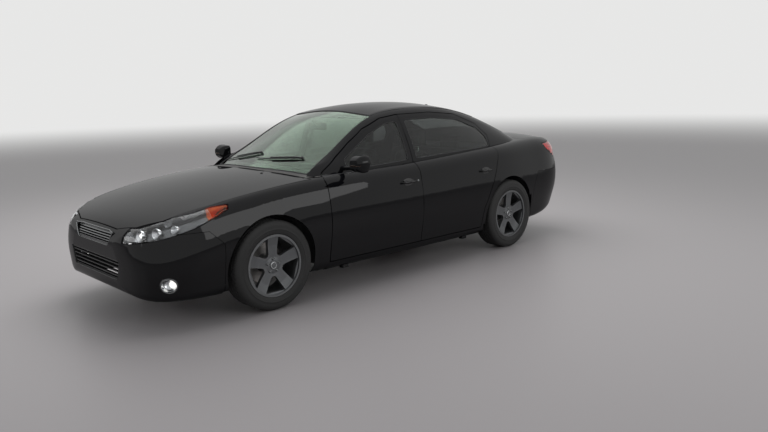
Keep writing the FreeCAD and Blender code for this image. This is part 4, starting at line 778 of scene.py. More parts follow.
def even_loop(loop: Sequence[Vector], step: float) -> List[Vector]:
    """Spaces a closed loop's points evenly.

    Args:
        loop: The points.
        step: Distance wanted between them, in metres.

    Returns:
        The new points.
    """
    points = list(loop) + [loop[0]]
    total = loop_length(loop)
    count = max(12, int(total / step))
    result, at, walked = [], 0, 0.0
    for k in range(count):
        target = total * k / count
        while walked + (points[at + 1] - points[at]).length < target:
            walked += (points[at + 1] - points[at]).length
            at += 1
        length = (points[at + 1] - points[at]).length
        share = (target - walked) / length if length > 1e-9 else 0.0
        result.append(points[at].lerp(points[at + 1], share))
    return result


def shifted(patch: bmesh.types.BMesh, distance: float) -> None:
    """Moves a patch along its own normals.

    Args:
        patch: The bmesh, changed in place.
        distance: Metres outwards, negative inwards.
    """
    patch.normal_update()
    for corner in patch.verts:
        corner.co += corner.normal * distance


def dress(node: str, choose: Callable[[Vector, Vector], Finish]) -> None:
    """Gives a carried-over CAD node its finishes, face by face.

    Args:
        node: The node's name.
        choose: Picks a finish from a face's centre and normal.
    """
    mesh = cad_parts[node].data
    mesh.materials.clear()
    numbers: Dict[str, int] = {}
    for face in mesh.polygons:
        finish = choose(face.center, face.normal)
        if finish.name not in numbers:
            numbers[finish.name] = len(mesh.materials)
            mesh.materials.append(finish.material())
        face.material_index = numbers[finish.name]


@dataclass
class BodyShell:
    """Panels, glass, seals and the small parts fixed to the outside."""

    door_inner_x: float = 0.797
    deck_front_y: float = 1.64
    seal_radius: float = 0.0055
    screen_seal_radius: float = 0.0065
    plate_size: Tuple[float, float] = (0.52, 0.115)
    surfaces: Dict[str, NodeSurface] = field(default_factory=dict)

    def surface(self, node: str) -> NodeSurface:
        """Gives a node's faces, read once.

        Args:
            node: The CAD node.

        Returns:
            Its surface.
        """
        if node not in self.surfaces:
            self.surfaces[node] = NodeSurface(node)
        return self.surfaces[node]

    def build(self) -> None:
        """Dresses the panels and adds every outside part."""
        self.dress_panels()
        self.dress_under_parts()
        for side in Side:
            self.window_seals(side)
            self.mirror_parts(side)
            self.handle_parts(side)
        self.screen_bands()
        self.wipers()
        self.roof_parts()
        self.tail_parts()
        self.nose_parts()

    def dress_panels(self) -> None:
        """Paints the outside of the panels and lines their inside."""

        def door(centre: Vector, normal: Vector) -> Finish:
            """Paint outside, trim on the flat inner face."""
            return CABIN_TRIM if abs(centre.x) < self.door_inner_x + 0.002 and centre.z < 0.93 else BODY_PAINT

        def body_side(centre: Vector, normal: Vector) -> Finish:
            """Paint outside, trim where it faces the cabin."""
            inward = normal.x * (1 if centre.x > 0 else -1) < -0.25
            in_cabin = -0.9 < centre.y < self.deck_front_y and centre.z > 0.25
            if inward and in_cabin and centre.z > 1.12:
                return HEADLINER
            return CABIN_TRIM if inward and in_cabin and abs(centre.x) < 0.80 else BODY_PAINT

        def lined_roof(centre: Vector, normal: Vector) -> Finish:
            """Paint above and cloth below."""
            return HEADLINER if normal.z < -0.3 else BODY_PAINT

        def lid(centre: Vector, normal: Vector) -> Finish:
            """Paint outside and primer inside."""
            inside = normal.z < -0.3 or (centre.y > 2.0 and normal.y < -0.3)
            return PRIMER if inside else BODY_PAINT

        def shelf(centre: Vector, normal: Vector) -> Finish:
            """Paint on the strip outside the rear window, cloth on the shelf inside."""
            return BODY_PAINT if centre.y > self.deck_front_y + 0.005 and normal.z > 0.2 else CARPET

        for side in Side:
            for row in ("front", "rear"):
                dress(f"door_{row}_{side.tag}", door)
                dress(f"glass_{row}_{side.tag}", lambda centre, normal: DARK_GLASS)
            dress(f"mirror_{side.tag}", lambda centre, normal: BODY_PAINT)
        dress("side_frames", body_side)
        dress("roof_panel", lined_roof)
        dress("hood", lid)
        dress("trunk_lid", lid)
        dress("rear_shelf", shelf)
        for node in ("front_fenders", "front_bumper", "rear_bumper"):
            dress(node, lambda centre, normal: BODY_PAINT)
        dress("windshield", lambda centre, normal: SCREEN_GLASS)
        dress("rear_window", lambda centre, normal: DARK_GLASS)
        dress("grille", lambda centre, normal: DARK_CHROME if centre.z > 0.5 else BLACK_PLASTIC)

    def dress_under_parts(self) -> None:
        """Finishes the floor, the frame and the running gear."""

        def floor(centre: Vector, normal: Vector) -> Finish:
            """Carpet above, primer below."""
            return CARPET if normal.z > 0.3 or abs(normal.x) > 0.6 else PRIMER

        def bulkhead(centre: Vector, normal: Vector) -> Finish:
            """Trim towards the cabin, primer towards the engine."""
            return CARPET if normal.y > 0.3 else PRIMER

        def stub_axle(centre: Vector, normal: Vector) -> Finish:
            """Dark steel; the strut's tube is painted."""
            return PRIMER if centre.z > 0.47 else CAST_STEEL

        dress("floor_pan", floor)
        dress("trunk_floor", floor)
        dress("firewall", bulkhead)
        dress("front_frame", lambda centre, normal: PRIMER)
        dress("wheel_liners", lambda centre, normal: BLACK_PLASTIC)
        dress("fuel_tank", lambda centre, normal: BLACK_PLASTIC)
        dress("front_suspension", lambda centre, normal: CAST_STEEL)
        dress("rear_axle", lambda centre, normal: CAST_STEEL)
        dress("exhaust", lambda centre, normal: PIPE_STEEL)
        dress("engine", lambda centre, normal: CAST_ALLOY)
        for side in Side:
            dress(f"knuckle_{side.tag}", stub_axle)

    def window_seals(self, side: Side) -> None:
        """Lays a rubber bead round each side window.

        Args:
            side: Side of the car.
        """
        for row in ("front", "rear"):
            surface = self.surface(f"glass_{row}_{side.tag}")
            region = surface.region((side.value, 0, 0.25))
            rim = even_loop(surface.rims(region)[0], 0.03)
            bead = tube(f"window_seal_{row}_{side.tag}", rim, self.seal_radius, RUBBER, closed=True)
            carry(bead, f"door_{row}_{side.tag}")

    def screen_bands(self) -> None:
        """Adds the black border and the rubber round the windscreen and the rear window."""
        for node, way, width in (("windshield", (0, -0.6, 0.8), 0.035), ("rear_window", (0, 0.4, 0.9), 0.04)):
            surface = self.surface(node)
            region = surface.region(way)
            rim = even_loop(surface.rims(region)[0], 0.025)
            carry(tube(f"{node}_seal", rim, self.screen_seal_radius, RUBBER, closed=True), "body")
            under = [point - Vector(way) * 0.0075 for point in rim]
            middle = sum(under, Vector()) / len(under)
            inner = []
            for point in under:
                inward = (middle - point).normalized()
                near, _, _, _ = surface.tree.find_nearest(point + inward * width)
                inner.append(near - Vector(way) * 0.0075)
            count = len(rim)
            faces = [(k, (k + 1) % count, count + (k + 1) % count, count + k) for k in range(count)]
            carry(new_mesh(f"{node}_black_border", under + inner, faces, GLOSS_BLACK), "body")

    def mirror_parts(self, side: Side) -> None:
        """Adds the reflecting glass and the repeater lamp of a door mirror.

        Args:
            side: Side of the car.
        """
        s = side.value
        _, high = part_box(f"mirror_{side.tag}")
        y = high[1] - 0.0135
        outline = [(0.945, 0.965), (0.948, 1.058), (0.975, 1.064), (1.045, 1.070), (1.062, 1.055),
                   (1.068, 1.018),
                   (1.045, 0.968), (1.020, 0.961)]
        points = [(s * x, y, z) for x, z in outline] + [(s * x, y - 0.004, z) for x, z in outline]
        count = len(outline)
        faces = [tuple(range(count)), tuple(range(2 * count - 1, count - 1, -1))]
        faces += [(k, count + k, count + (k + 1) % count, (k + 1) % count) for k in range(count)]
        glass = new_mesh(f"mirror_glass_{side.tag}", points, faces, MIRROR, smooth=False)
        carry(glass, f"door_front_{side.tag}")
        surface = self.surface(f"mirror_{side.tag}")
        rail = []
        for k in range(7):
            place, normal = surface.hit((s * (0.965 + 0.016 * k), -1.2, 1.005), (0, 1, 0))
            rail.append(place + normal * 0.0005)
        carry(tube(f"mirror_repeater_{side.tag}", rail, 0.004, AMBER_LENS), f"door_front_{side.tag}")

    def handle_parts(self, side: Side) -> None:
        """Adds a black plastic patch behind each door handle, painted shade standing in for its finger
        recess, and the front lock.

        Args:
            side: Side of the car.
        """
        for row, latch_y in (("front", 0.080), ("rear", 1.110)):
            surface = self.surface(f"door_{row}_{side.tag}")
            centre = Vector((side.value * 1.2, latch_y - 0.075 - 0.085, 0.800))
            points, faces = [], []
            rings, steps = 4, 28
            for ring in range(rings):
                share = 1 - ring / rings
                for k in range(steps):
                    angle = 2 * math.pi * k / steps
                    dy = 0.062 * share * math.cos(angle)
                    dz = 0.030 * share * math.sin(angle)
                    place, normal = surface.hit((side.value * 0.9225, centre.y + dy, centre.z + dz),
                                                (-side.value, 0, 0))
                    points.append(place + normal * (0.0014 if ring else 0.0004))
            for ring in range(rings - 1):
                for k in range(steps):
                    after = (k + 1) % steps
                    faces.append((ring * steps + k, ring * steps + after, (ring + 1) * steps + after,
                                  (ring + 1) * steps + k))
            faces.append(tuple((rings - 1) * steps + k for k in range(steps)))
            # A dark sheet laid on the door where the finger recess would be: painted shade, not a shaped
            # hollow.
            cup = new_mesh(f"handle_recess_{row}_{side.tag}", points, faces, BLACK_PLASTIC)
            carry(cup, f"door_{row}_{side.tag}")
            if row == "front":
                place, normal = surface.hit((side.value * 0.96, latch_y - 0.036, 0.800), (-side.value, 0, 0))
                lock = turned(f"door_lock_{side.tag}",
                              [(-0.001, 0.0), (0.0015, 0.0), (0.0015, 0.008), (0.0012, 0.0095),
                              (-0.001, 0.0105)], place, normal, DARK_CHROME, 24)
                carry(lock, f"door_{row}_{side.tag}")

    def wipers(self) -> None:
        """Lays two wipers on the foot of the windscreen."""
        glass = self.surface("windshield")
        for name, pivot_x, tip_x in (("driver", 0.46, -0.07), ("passenger", -0.10, -0.60)):
            blade, arm = [], []
            for k in range(9):
                share = k / 8
                x = pivot_x - 0.02 + (tip_x - pivot_x) * share
                y = -0.93 + 0.07 * (1 - share) - 0.02 * math.sin(math.pi * share) + 0.05 * abs(x)
                place, normal = glass.hit((x, y, 1.6), (0, 0, -1))
                blade.append(place + normal * 0.008)
                arm.append(place + normal * (0.020 if 0 < k < 8 else 0.012))
            carry(tube(f"wiper_blade_{name}", blade, 0.0045, RUBBER), "body")
            carry(tube(f"wiper_arm_{name}", arm[:6], 0.0055, BLACK_PLASTIC), "body")
            seat = arm[0]
            boss = turned(f"wiper_pivot_{name}", [(-0.014, 0.010), (0.004, 0.011), (0.009, 0.008),
                                                  (0.010, 0.0)],
                          seat, (0, -0.5, 0.85), BLACK_PLASTIC, 24)
            carry(boss, "body")

    def roof_parts(self) -> None:
        """Adds the aerial fin and the ditch mouldings of the roof."""
        roof = self.surface("roof_panel")
        points, faces = [], []
        stations = ((0.0, 0.008, 0.004), (0.03, 0.017, 0.012), (0.07, 0.022, 0.026), (0.105, 0.022, 0.045),
                    (0.125, 0.018, 0.050), (0.135, 0.010, 0.040), (0.138, 0.006, 0.010))
        base_y = 0.98
        ring = 8
        for along, half, tall in stations:
            foot, _ = roof.hit((0, base_y + along, 2.0), (0, 0, -1))
            for k in range(ring):
                angle = math.pi * k / (ring - 1)
                points.append((half * math.cos(angle), base_y + along,
                               foot.z - 0.002 + tall * math.sin(angle) ** 0.7))
        for row in range(len(stations) - 1):
            for k in range(ring - 1):
                a = row * ring + k
                faces.append((a, a + 1, a + ring + 1, a + ring))
        faces.append(tuple(range(ring)))
        faces.append(tuple((len(stations) - 1) * ring + k for k in reversed(range(ring))))
        fin = new_mesh("aerial_fin", points, faces, BODY_PAINT)
        fin.modifiers.new("round", "SUBSURF").render_levels = 2
        carry(fin, "body")
        for side in Side:
            rail = []
            for k in range(14):
                y = -0.20 + k * (1.25 + 0.20) / 13
                x = side.value * 0.533
                place, _, _, _ = roof.tree.find_nearest(Vector((x, y, 1.40)))
                rail.append(place + Vector((side.value * 0.0035, 0, -0.001)))
            carry(tube(f"roof_moulding_{side.tag}", rail, 0.0035, RUBBER), "body")

    def tail_parts(self) -> None:
        """Adds the blank number plate, its holder, the lid's trim bar, reflectors, the lower valance and the
        exhaust tip.
        """
        lid = self.surface("trunk_lid")
        half_x, half_z = self.plate_size[0] / 2, self.plate_size[1] / 2
        middle, normal = lid.hit((0, 3.0, 0.835), (0, -1, 0))
        upper, _ = lid.hit((0, 3.0, 0.835 + half_z), (0, -1, 0))
        lower, _ = lid.hit((0, 3.0, 0.835 - half_z), (0, -1, 0))
        lean = (upper.y - lower.y) / (2 * half_z)
        plate_y = max(middle.y, upper.y - lean * half_z, lower.y + lean * half_z) + 0.001
        work = bmesh.new()
        bmesh.ops.create_cube(work, size=1.0)
        for corner in work.verts:
            z = corner.co.z * 2 * half_z
            corner.co = Vector((corner.co.x * 2 * half_x, plate_y + lean * z + corner.co.y * 0.003,
                                0.835 + z))
        bmesh.ops.bevel(work, geom=list(work.edges), offset=0.0012, segments=2, affect="EDGES")
        carry(from_bmesh("blank_rear_plate", work, PLATE_WHITE), "trunk_lid")
        rim = [(sx * (half_x + 0.003), plate_y + lean * sz * half_z, 0.835 + sz * (half_z + 0.003))
               for sx, sz in ((-1, -1), (1, -1), (1, 1), (-1, 1))]
        carry(tube("plate_holder", rim, 0.003, BLACK_PLASTIC, closed=True, smooth=False), "trunk_lid")
        bar = []
        for k in range(17):
            x = -0.40 + 0.05 * k
            place, normal = lid.hit((x, 3.0, 0.925), (0, -1, 0))
            bar.append(place - normal * 0.004)
        carry(tube("lid_trim_bar", bar, 0.008, DARK_CHROME), "trunk_lid")
        bumper = self.surface("rear_bumper")
        # The bumper reflectors glow faintly red: painted glow, not lamp light.
        for side in Side:
            points = []
            for k in range(9):
                x = side.value * (0.50 + 0.02 * k)
                place, normal = bumper.hit((x, 3.0, 0.475), (0, -1, 0))
                points.append(place - normal * 0.005)
            carry(tube(f"rear_reflector_{side.tag}", points, 0.009, RED_GLOW), "body")
        ridge = []
        for k in range(25):
            x = -0.60 + 0.05 * k
            place, normal = bumper.hit((x, 3.2, 0.415), (0, -1, 0))
            ridge.append(place - normal * 0.002)
        carry(tube("rear_valance_line", ridge, 0.005, BLACK_PLASTIC), "body")
        _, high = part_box("exhaust")
        pipe_end = Vector((0.52, high[1], 0.272))
        tip = turned("exhaust_tip", [(-0.055, 0.0285), (0.0, 0.0305), (0.002, 0.0300), (0.0, 0.0275),
                                     (-0.05, 0.0262)],
                     pipe_end, (0, 1, 0), BRIGHT, 40)
        carry(tip, "body")

    def nose_parts(self) -> None:
        """Adds the grille's bright rim, the mesh behind the bars and the washer jets."""
        bumper = self.surface("front_bumper")
        for name, corners in (("upper", ((-0.262, 0.552), (0.262, 0.552), (0.328, 0.657), (-0.328, 0.657))),
                              ("lower", ((-0.383, 0.328), (0.383, 0.328), (0.432, 0.472), (-0.432, 0.472)))):
            route = []
            for (x0, z0), (x1, z1) in zip(corners, corners[1:] + corners[:1]):
                steps = max(2, int(math.hypot(x1 - x0, z1 - z0) / 0.035))
                for k in range(steps):
                    x = x0 + (x1 - x0) * k / steps
                    z = z0 + (z1 - z0) * k / steps
                    near, _, _, _ = bumper.tree.find_nearest(Vector((x, -2.46, z)))
                    route.append(Vector((x, near.y + 0.0052, z)))
            rim = tube(f"grille_rim_{name}", route, 0.005, DARK_CHROME if name == "upper" else BLACK_PLASTIC,
                       closed=True)
            carry(rim, "body")
        for name, z0, z1, half in (("upper", 0.548, 0.660, 0.335), ("lower", 0.325, 0.475, 0.435)):
            cells = bmesh.new()
            columns, rows = int(2 * half / 0.022), int((z1 - z0) / 0.018)
            for row in range(rows):
                for column in range(columns):
                    x = -half + (column + 0.5 + 0.5 * (row % 2)) * 0.022
                    z = z0 + (row + 0.5) * 0.018
                    if abs(x) > half - 0.01:
                        continue
                    self.mesh_cell(cells, x, -2.27 + 0.55 * x * x, z)
            carry(from_bmesh(f"grille_mesh_{name}", cells, BLACK_PLASTIC, smooth=False), "body")
        hood = self.surface("hood")
        for side in Side:
            place, normal = hood.hit((side.value * 0.32, -1.16, 2.0), (0, 0, -1))
            jet = turned(f"washer_jet_{side.tag}", [(-0.002, 0.013), (0.002, 0.012), (0.006, 0.008),
                                                    (0.008, 0.0)], place,
                         normal, BLACK_PLASTIC, 20)
            carry(jet, "hood")

    def mesh_cell(self, cells: bmesh.types.BMesh, x: float, y: float, z: float) -> None:
        """Adds one six-sided cell of the mesh behind the grille.

        Args:
            cells: The mesh that grows.
            x: Its centre, in metres.
            y: Its depth.
            z: Its height.
        """
        rings = []
        for radius, depth in ((0.0125, 0.0), (0.0095, 0.0), (0.0095, 0.008)):
            ring = []
            for k in range(6):
                angle = math.pi / 6 + k * math.pi / 3
                ring.append(cells.verts.new((x + radius * math.cos(angle), y + depth,
                                             z + radius * math.sin(angle))))
            rings.append(ring)
        for inner, outer in zip(rings[1:], rings[:-1]):
            for k in range(6):
                after = (k + 1) % 6
                cells.faces.new((outer[k], outer[after], inner[after], inner[k]))


@dataclass
class Lamps:
    """Headlamps, tail lamps and fog lamps with their reflectors, bulbs and lenses."""

    shell: BodyShell
    lens_thickness: float = 0.0025
    tray_depth: float = 0.050
    amber_from_y: float = -1.905
    bowls: Sequence[Tuple[float, float, float]] = ((0.575, 0.655, 0.034), (0.672, 0.668, 0.034),
                                                   (0.745, 0.690, 0.026))

    def build(self) -> None:
        """Makes every lamp."""
        self.headlamps()
        self.tail_lamps()
        self.fog_lamps()

    def zoned(self, name: str, patch: bmesh.types.BMesh, finishes: Sequence[Finish],
              zone: Callable[[Vector], int], smooth: bool) -> bpy.types.Object:
        """Makes a piece of a patch whose zones have finishes of their own.

        Args:
            name: The piece's name.
            patch: The faces, freed here.
            finishes: The finishes of its zones.
            zone: Gives the zone of a place on the patch.
            smooth: Whether it is shaded smooth.

        Returns:
            The piece.
        """
        for face in patch.faces:
            face.material_index = zone(face.calc_center_median())
        piece = from_bmesh(name, patch, finishes[0], smooth)
        for finish in finishes[1:]:
            piece.data.materials.append(finish.material())
        return piece

    def tray(self, name: str, patch: bmesh.types.BMesh, depth: float, finishes: Sequence[Finish],
             zone: Callable[[Vector], int]) -> bpy.types.Object:
        """Makes the open housing behind a lens.

        Args:
            name: The piece's name.
            patch: A copy of the lens face, changed here.
            depth: How deep the housing is.
            finishes: The finishes of its zones.
            zone: Gives the zone of a place in the housing.

        Returns:
            The housing.
        """
        shifted(patch, -0.003)
        made = bmesh.ops.extrude_face_region(patch, geom=list(patch.faces))
        moved = [g for g in made["geom"] if isinstance(g, bmesh.types.BMVert)]
        patch.normal_update()
        front = [f for f in patch.faces if not any(v in moved for v in f.verts)]
        for corner in moved:
            corner.co -= corner.normal * depth
        bmesh.ops.delete(patch, geom=front, context="FACES_ONLY")
        bmesh.ops.recalc_face_normals(patch, faces=patch.faces)
        return self.zoned(name, patch, finishes, zone, False)

    def lens(self, name: str, patch: bmesh.types.BMesh, finishes: Sequence[Finish],
             zone: Callable[[Vector], int]) -> bpy.types.Object:
        """Makes a thin lens from a patch.

        Args:
            name: The piece's name.
            patch: A copy of the lens face, freed here.
            finishes: The finishes of its zones.
            zone: Gives the zone of a place on the lens.

        Returns:
            The lens.
        """
        shifted(patch, -0.0003)
        piece = self.zoned(name, patch, finishes, zone, True)
        wall = piece.modifiers.new("wall", "SOLIDIFY")
        wall.thickness = self.lens_thickness
        wall.offset = -1
        return piece

    def cut(self, patch: bmesh.types.BMesh, place: Sequence[float], normal: Sequence[float]) -> None:
        """Cuts a patch's faces along a plane so that zones meet on a clean line.

        Args:
            patch: The bmesh, changed in place.
            place: A point on the plane.
            normal: The plane's normal.
        """
        bmesh.ops.bisect_plane(patch, geom=[*patch.verts, *patch.edges, *patch.faces], plane_co=Vector(place),
                               plane_no=Vector(normal))

    def behind_amber(self, place: Vector) -> int:
        """Gives the zone of a place in a headlamp.

        Args:
            place: The place.

        Returns:
            1 in the amber rear corner, else 0.
        """
        return 1 if place.y > self.amber_from_y else 0

    def headlamps(self) -> None:
        """Makes both headlamps."""
        surface = self.shell.surface("headlamps")
        for side in Side:
            s = side.value
            region = surface.region((0.6 * s, -0.75, 0.25), s)
            glass, back = surface.copy(region), surface.copy(region)
            for patch in (glass, back):
                self.cut(patch, (0, self.amber_from_y, 0), (0, 1, 0))
            lens = self.lens(f"headlamp_lens_{side.tag}", glass, (CLEAR_LENS, AMBER_LENS), self.behind_amber)
            carry(lens, "body")
            # The amber rear corner of the housing glows faintly: painted glow, not a lit indicator.
            housing = self.tray(f"headlamp_housing_{side.tag}", back, self.tray_depth,
                                (DARK_CHROME, AMBER_GLOW),
                                self.behind_amber)
            carry(housing, "body")
            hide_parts("headlamps")
            for number, (x, z, radius) in enumerate(self.bowls):
                place, normal = surface.hit((s * x, -3.0, z), (0, 1, 0))
                way = (Vector((0, -1, 0)) + normal * 0.5).normalized()
                start = place - way * 0.052
                profile = [(0.0, 0.006), (0.004, radius * 0.45), (0.012, radius * 0.75),
                           (0.024, radius * 0.97),
                           (0.026, radius), (0.024, radius * 1.04), (0.0, radius * 1.02)]
                carry(turned(f"headlamp_bowl_{number}_{side.tag}", profile, start, way, BRIGHT, 40), "body")
                bulb = turned(f"headlamp_bulb_{number}_{side.tag}",
                              [(0.002, radius * 0.5), (0.010, radius * 0.48), (0.016, radius * 0.34),
                               (0.0195, 0.0)],
                              start, way, CLEAR_LENS if number else WHITE_GLOW, 32)
                carry(bulb, "body")

    def tail_lamps(self) -> None:
        """Makes both tail lamps."""
        surface = self.shell.surface("tail_lamps")
        for side in Side:
            s = side.value
            region = surface.region((0.5 * s, 0.85, 0.1), s)
            glass = surface.copy(region)
            self.cut(glass, (0, 0, 0.868), (0, 0, 1))
            self.cut(glass, (s * 0.60, 0, 0), (1, 0, 0))
            lens = self.lens(f"tail_lamp_lens_{side.tag}", glass, (RED_LENS, CLEAR_LENS),
                             lambda place: 1 if place.z < 0.868 and abs(place.x) < 0.60 else 0)
            carry(lens, "body")
            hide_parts("tail_lamps")
            # The housing behind the lens glows faintly red: painted glow.
            housing = self.tray(f"tail_lamp_housing_{side.tag}", surface.copy(region), 0.035, (RED_GLOW,),
                                lambda place: 0)
            carry(housing, "body")
            for row, z in enumerate((0.835, 0.87, 0.905, 0.94)):
                rib = []
                for k in range(12):
                    angle = math.radians(8 + 7.0 * k)
                    origin = Vector((s * 0.35, 1.75, z))
                    way = Vector((s * math.sin(angle), math.cos(angle), 0))
                    place, normal, _, _ = surface.tree.ray_cast(origin + way * 1.2, -way)
                    if place is None or abs(place.x) < 0.455:
                        continue
                    if place.y < 2.1 and z < 0.90:
                        continue
                    rib.append(place - normal * 0.012)
                if len(rib) > 3:
                    # The ribs glow faintly red, the top one is bright trim: painted glow.
                    bar = tube(f"tail_lamp_rib_{row}_{side.tag}", rib, 0.005, RED_GLOW if row else BRIGHT)
                    carry(bar, "body")

    def fog_lamps(self) -> None:
        """Makes both fog lamps with their bezels."""
        surface = self.shell.surface("fog_lamps")
        for side in Side:
            s = side.value
            way = Vector((0.62 * s, -0.785, -0.05)).normalized()
            region = surface.region(way, s)
            lens = self.lens(f"fog_lamp_lens_{side.tag}", surface.copy(region), (CLEAR_LENS,),
                             lambda place: 0)
            carry(lens, "body")
            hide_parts("fog_lamps")
            rim = even_loop(surface.rims(region)[0], 0.012)
            carry(tube(f"fog_lamp_bezel_{side.tag}", rim, 0.005, DARK_CHROME, closed=True), "body")
            middle = sum(rim, Vector()) / len(rim)
            start = middle - way * 0.045
            bowl = turned(f"fog_lamp_bowl_{side.tag}",
                          [(0.0, 0.008), (0.004, 0.024), (0.014, 0.038), (0.030, 0.047), (0.034, 0.0485),
                           (0.030, 0.0500), (-0.004, 0.0495)], start, way, BRIGHT, 48)
            carry(bowl, "body")
            bulb = turned(f"fog_lamp_bulb_{side.tag}",
                          [(0.0, 0.016), (0.012, 0.015), (0.019, 0.010), (0.022, 0.0)],
                          start, way, WHITE_GLOW, 32)
            carry(bulb, "body")


@dataclass
class RoadWheels:
    """Tyres with tread, and the bolts, caps and finish of the wheels."""

    pitches: int = 60
    bolt_circle: float = 0.050
    bolts: int = 5
    disc_face_x: float = 0.760

    def build(self) -> None:
        """Makes the running wheels' parts."""
        tread = self.tyre_mesh()
        for row in ("front", "rear"):
            for side in Side:
                name = f"{row}_{side.tag}"
                low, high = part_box(f"tyre_{name}")
                centre = (Vector(low) + Vector(high)) / 2
                tyre = bpy.data.objects.new(f"tread_tyre_{name}", tread)
                tyre.location = centre
                if side is Side.RIGHT:
                    tyre.rotation_euler = (0, 0, math.pi)
                bpy.context.scene.collection.objects.link(tyre)
                bpy.context.view_layer.update()
                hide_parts(f"tyre_{name}")
                carry(tyre, f"wheel_{name}")
                self.dress_wheel(name)
                self.bolts_and_cap(name, side, centre)

    def dress_wheel(self, name: str) -> None:
        """Gives spokes, rim and brake disc their finishes.

        Args:
            name: Row and side of the wheel.
        """
        row = name.split("_")[0]
        axle_y = -1.46 if row == "front" else 1.34

        def wheel(centre: Vector, normal: Vector) -> Finish:
            """Disc steel inboard near the hub, painted alloy elsewhere."""
            radius = math.hypot(centre.y - axle_y, centre.z - 0.334)
            return DISC_STEEL if abs(centre.x) < self.disc_face_x and radius < 0.152 else ALLOY

        dress(f"wheel_{name}", wheel)

    def tyre_profile(self) -> List[Tuple[float, float, str]]:
        """Half of the tyre's section, from bead to crown.

        Returns:
            Offset from the middle, radius and zone of each point.
        """
        wall = [(-0.0888, 0.2232), (-0.0888, 0.2310), (-0.0930, 0.2320), (-0.0985, 0.2350), (-0.1030, 0.2460),
                (-0.1055, 0.2580),
                (-0.1062, 0.2660), (-0.1072, 0.2672), (-0.1072, 0.2700), (-0.1064, 0.2712), (-0.1066, 0.2850),
                (-0.1060, 0.2960), (-0.1045, 0.3050), (-0.1010, 0.3135), (-0.0965, 0.3205), (-0.0900, 0.3262)]
        points = [(a, r, "wall") for a, r in wall]
        points += [(-0.0850, 0.3298, "shoulder"), (-0.0780, 0.3325, "shoulder"),
                   (-0.0700, 0.3337, "shoulder"),
                   (-0.0560, 0.3340, "shoulder")]
        points += [(-0.0545, 0.3275, "groove"), (-0.0470, 0.3275, "groove")]
        points += [(-0.0455, 0.3340, "rib"), (-0.0330, 0.3340, "rib"), (-0.0205, 0.3340, "rib")]
        points += [(-0.0190, 0.3275, "groove"), (-0.0115, 0.3275, "groove"), (-0.0100, 0.3340, "centre")]
        return points

    def tyre_mesh(self) -> bpy.types.Mesh:
        """Makes the tyre's mesh about the origin, its axle along X.

        Returns:
            The mesh, shared by the four tyres.
        """
        half = self.tyre_profile()
        section = half + [(-a, r, zone) for a, r, zone in reversed(half)]
        shares = (0.0, 0.06, 0.12, 0.5, 0.56, 0.62)
        drop = {"shoulder": (1, 0.0045), "rib": (4, 0.0045)}
        points, faces = [], []
        for pitch in range(self.pitches):
            for number, share in enumerate(shares):
                angle = 2 * math.pi * (pitch + share) / self.pitches
                for a, radius, zone in section:
                    lowered = zone in drop and drop[zone][0] == number
                    r = radius - drop[zone][1] if lowered else radius
                    points.append((a, r * math.cos(angle), r * math.sin(angle)))
        count = len(section)
        rows = self.pitches * len(shares)
        for row in range(rows):
            after = (row + 1) % rows
            for k in range(count - 1):
                faces.append((row * count + k, row * count + k + 1, after * count + k + 1, after * count + k))
        mesh = bpy.data.meshes.new("tread_tyre")
        mesh.from_pydata(points, [], faces)
        mesh.materials.append(TYRE_RUBBER.material())
        mesh.shade_smooth()
        mesh.set_sharp_from_angle(angle=math.radians(35))
        return mesh

    def bolts_and_cap(self, name: str, side: Side, centre: Vector) -> None:
        """Adds five wheel bolts and the hub cap.

        Args:
            name: Row and side of the wheel.
            side: Side of the car.
            centre: The wheel's centre.
        """
        way = Vector((side.value, 0, 0))
        parts = []
        for k in range(self.bolts):
            angle = math.pi / 2 + 2 * math.pi * k / self.bolts
            place = centre + Vector((side.value * 0.068, self.bolt_circle * math.cos(angle),
                                     self.bolt_circle * math.sin(angle)))
            bolt = turned("bolt", [(-0.004, 0.0), (-0.004, 0.012), (0.003, 0.012), (0.004, 0.0095),
                                   (0.011, 0.0092),
                                   (0.0125, 0.0075), (0.0115, 0.0045), (0.009, 0.0)], place, way, DARK_CHROME,
                          6)
            parts.append(bolt)
        cap = turned("cap", [(0.062, 0.0), (0.062, 0.031), (0.072, 0.031), (0.0755, 0.029), (0.077, 0.022),
                             (0.0775, 0.0)], centre, way, ALLOY, 48)
        ring = turned("ring", [(0.076, 0.0245), (0.0785, 0.0235), (0.0785, 0.0215), (0.076, 0.0205)], centre,
                      way, BRIGHT,
                      48)
        carry(join(f"wheel_bolts_{name}", parts + [cap, ring]), f"wheel_{name}")


@dataclass(frozen=True)
class PadShape:
    """Size and form of one upholstered pad, before it is filled out."""

    width: float
    length: float
    thickness: float
    bolster: float = 0.0
    crown: float = 0.012
    taper: float = 0.0
    cap: float = 0.012
    voxel: float = 0.011


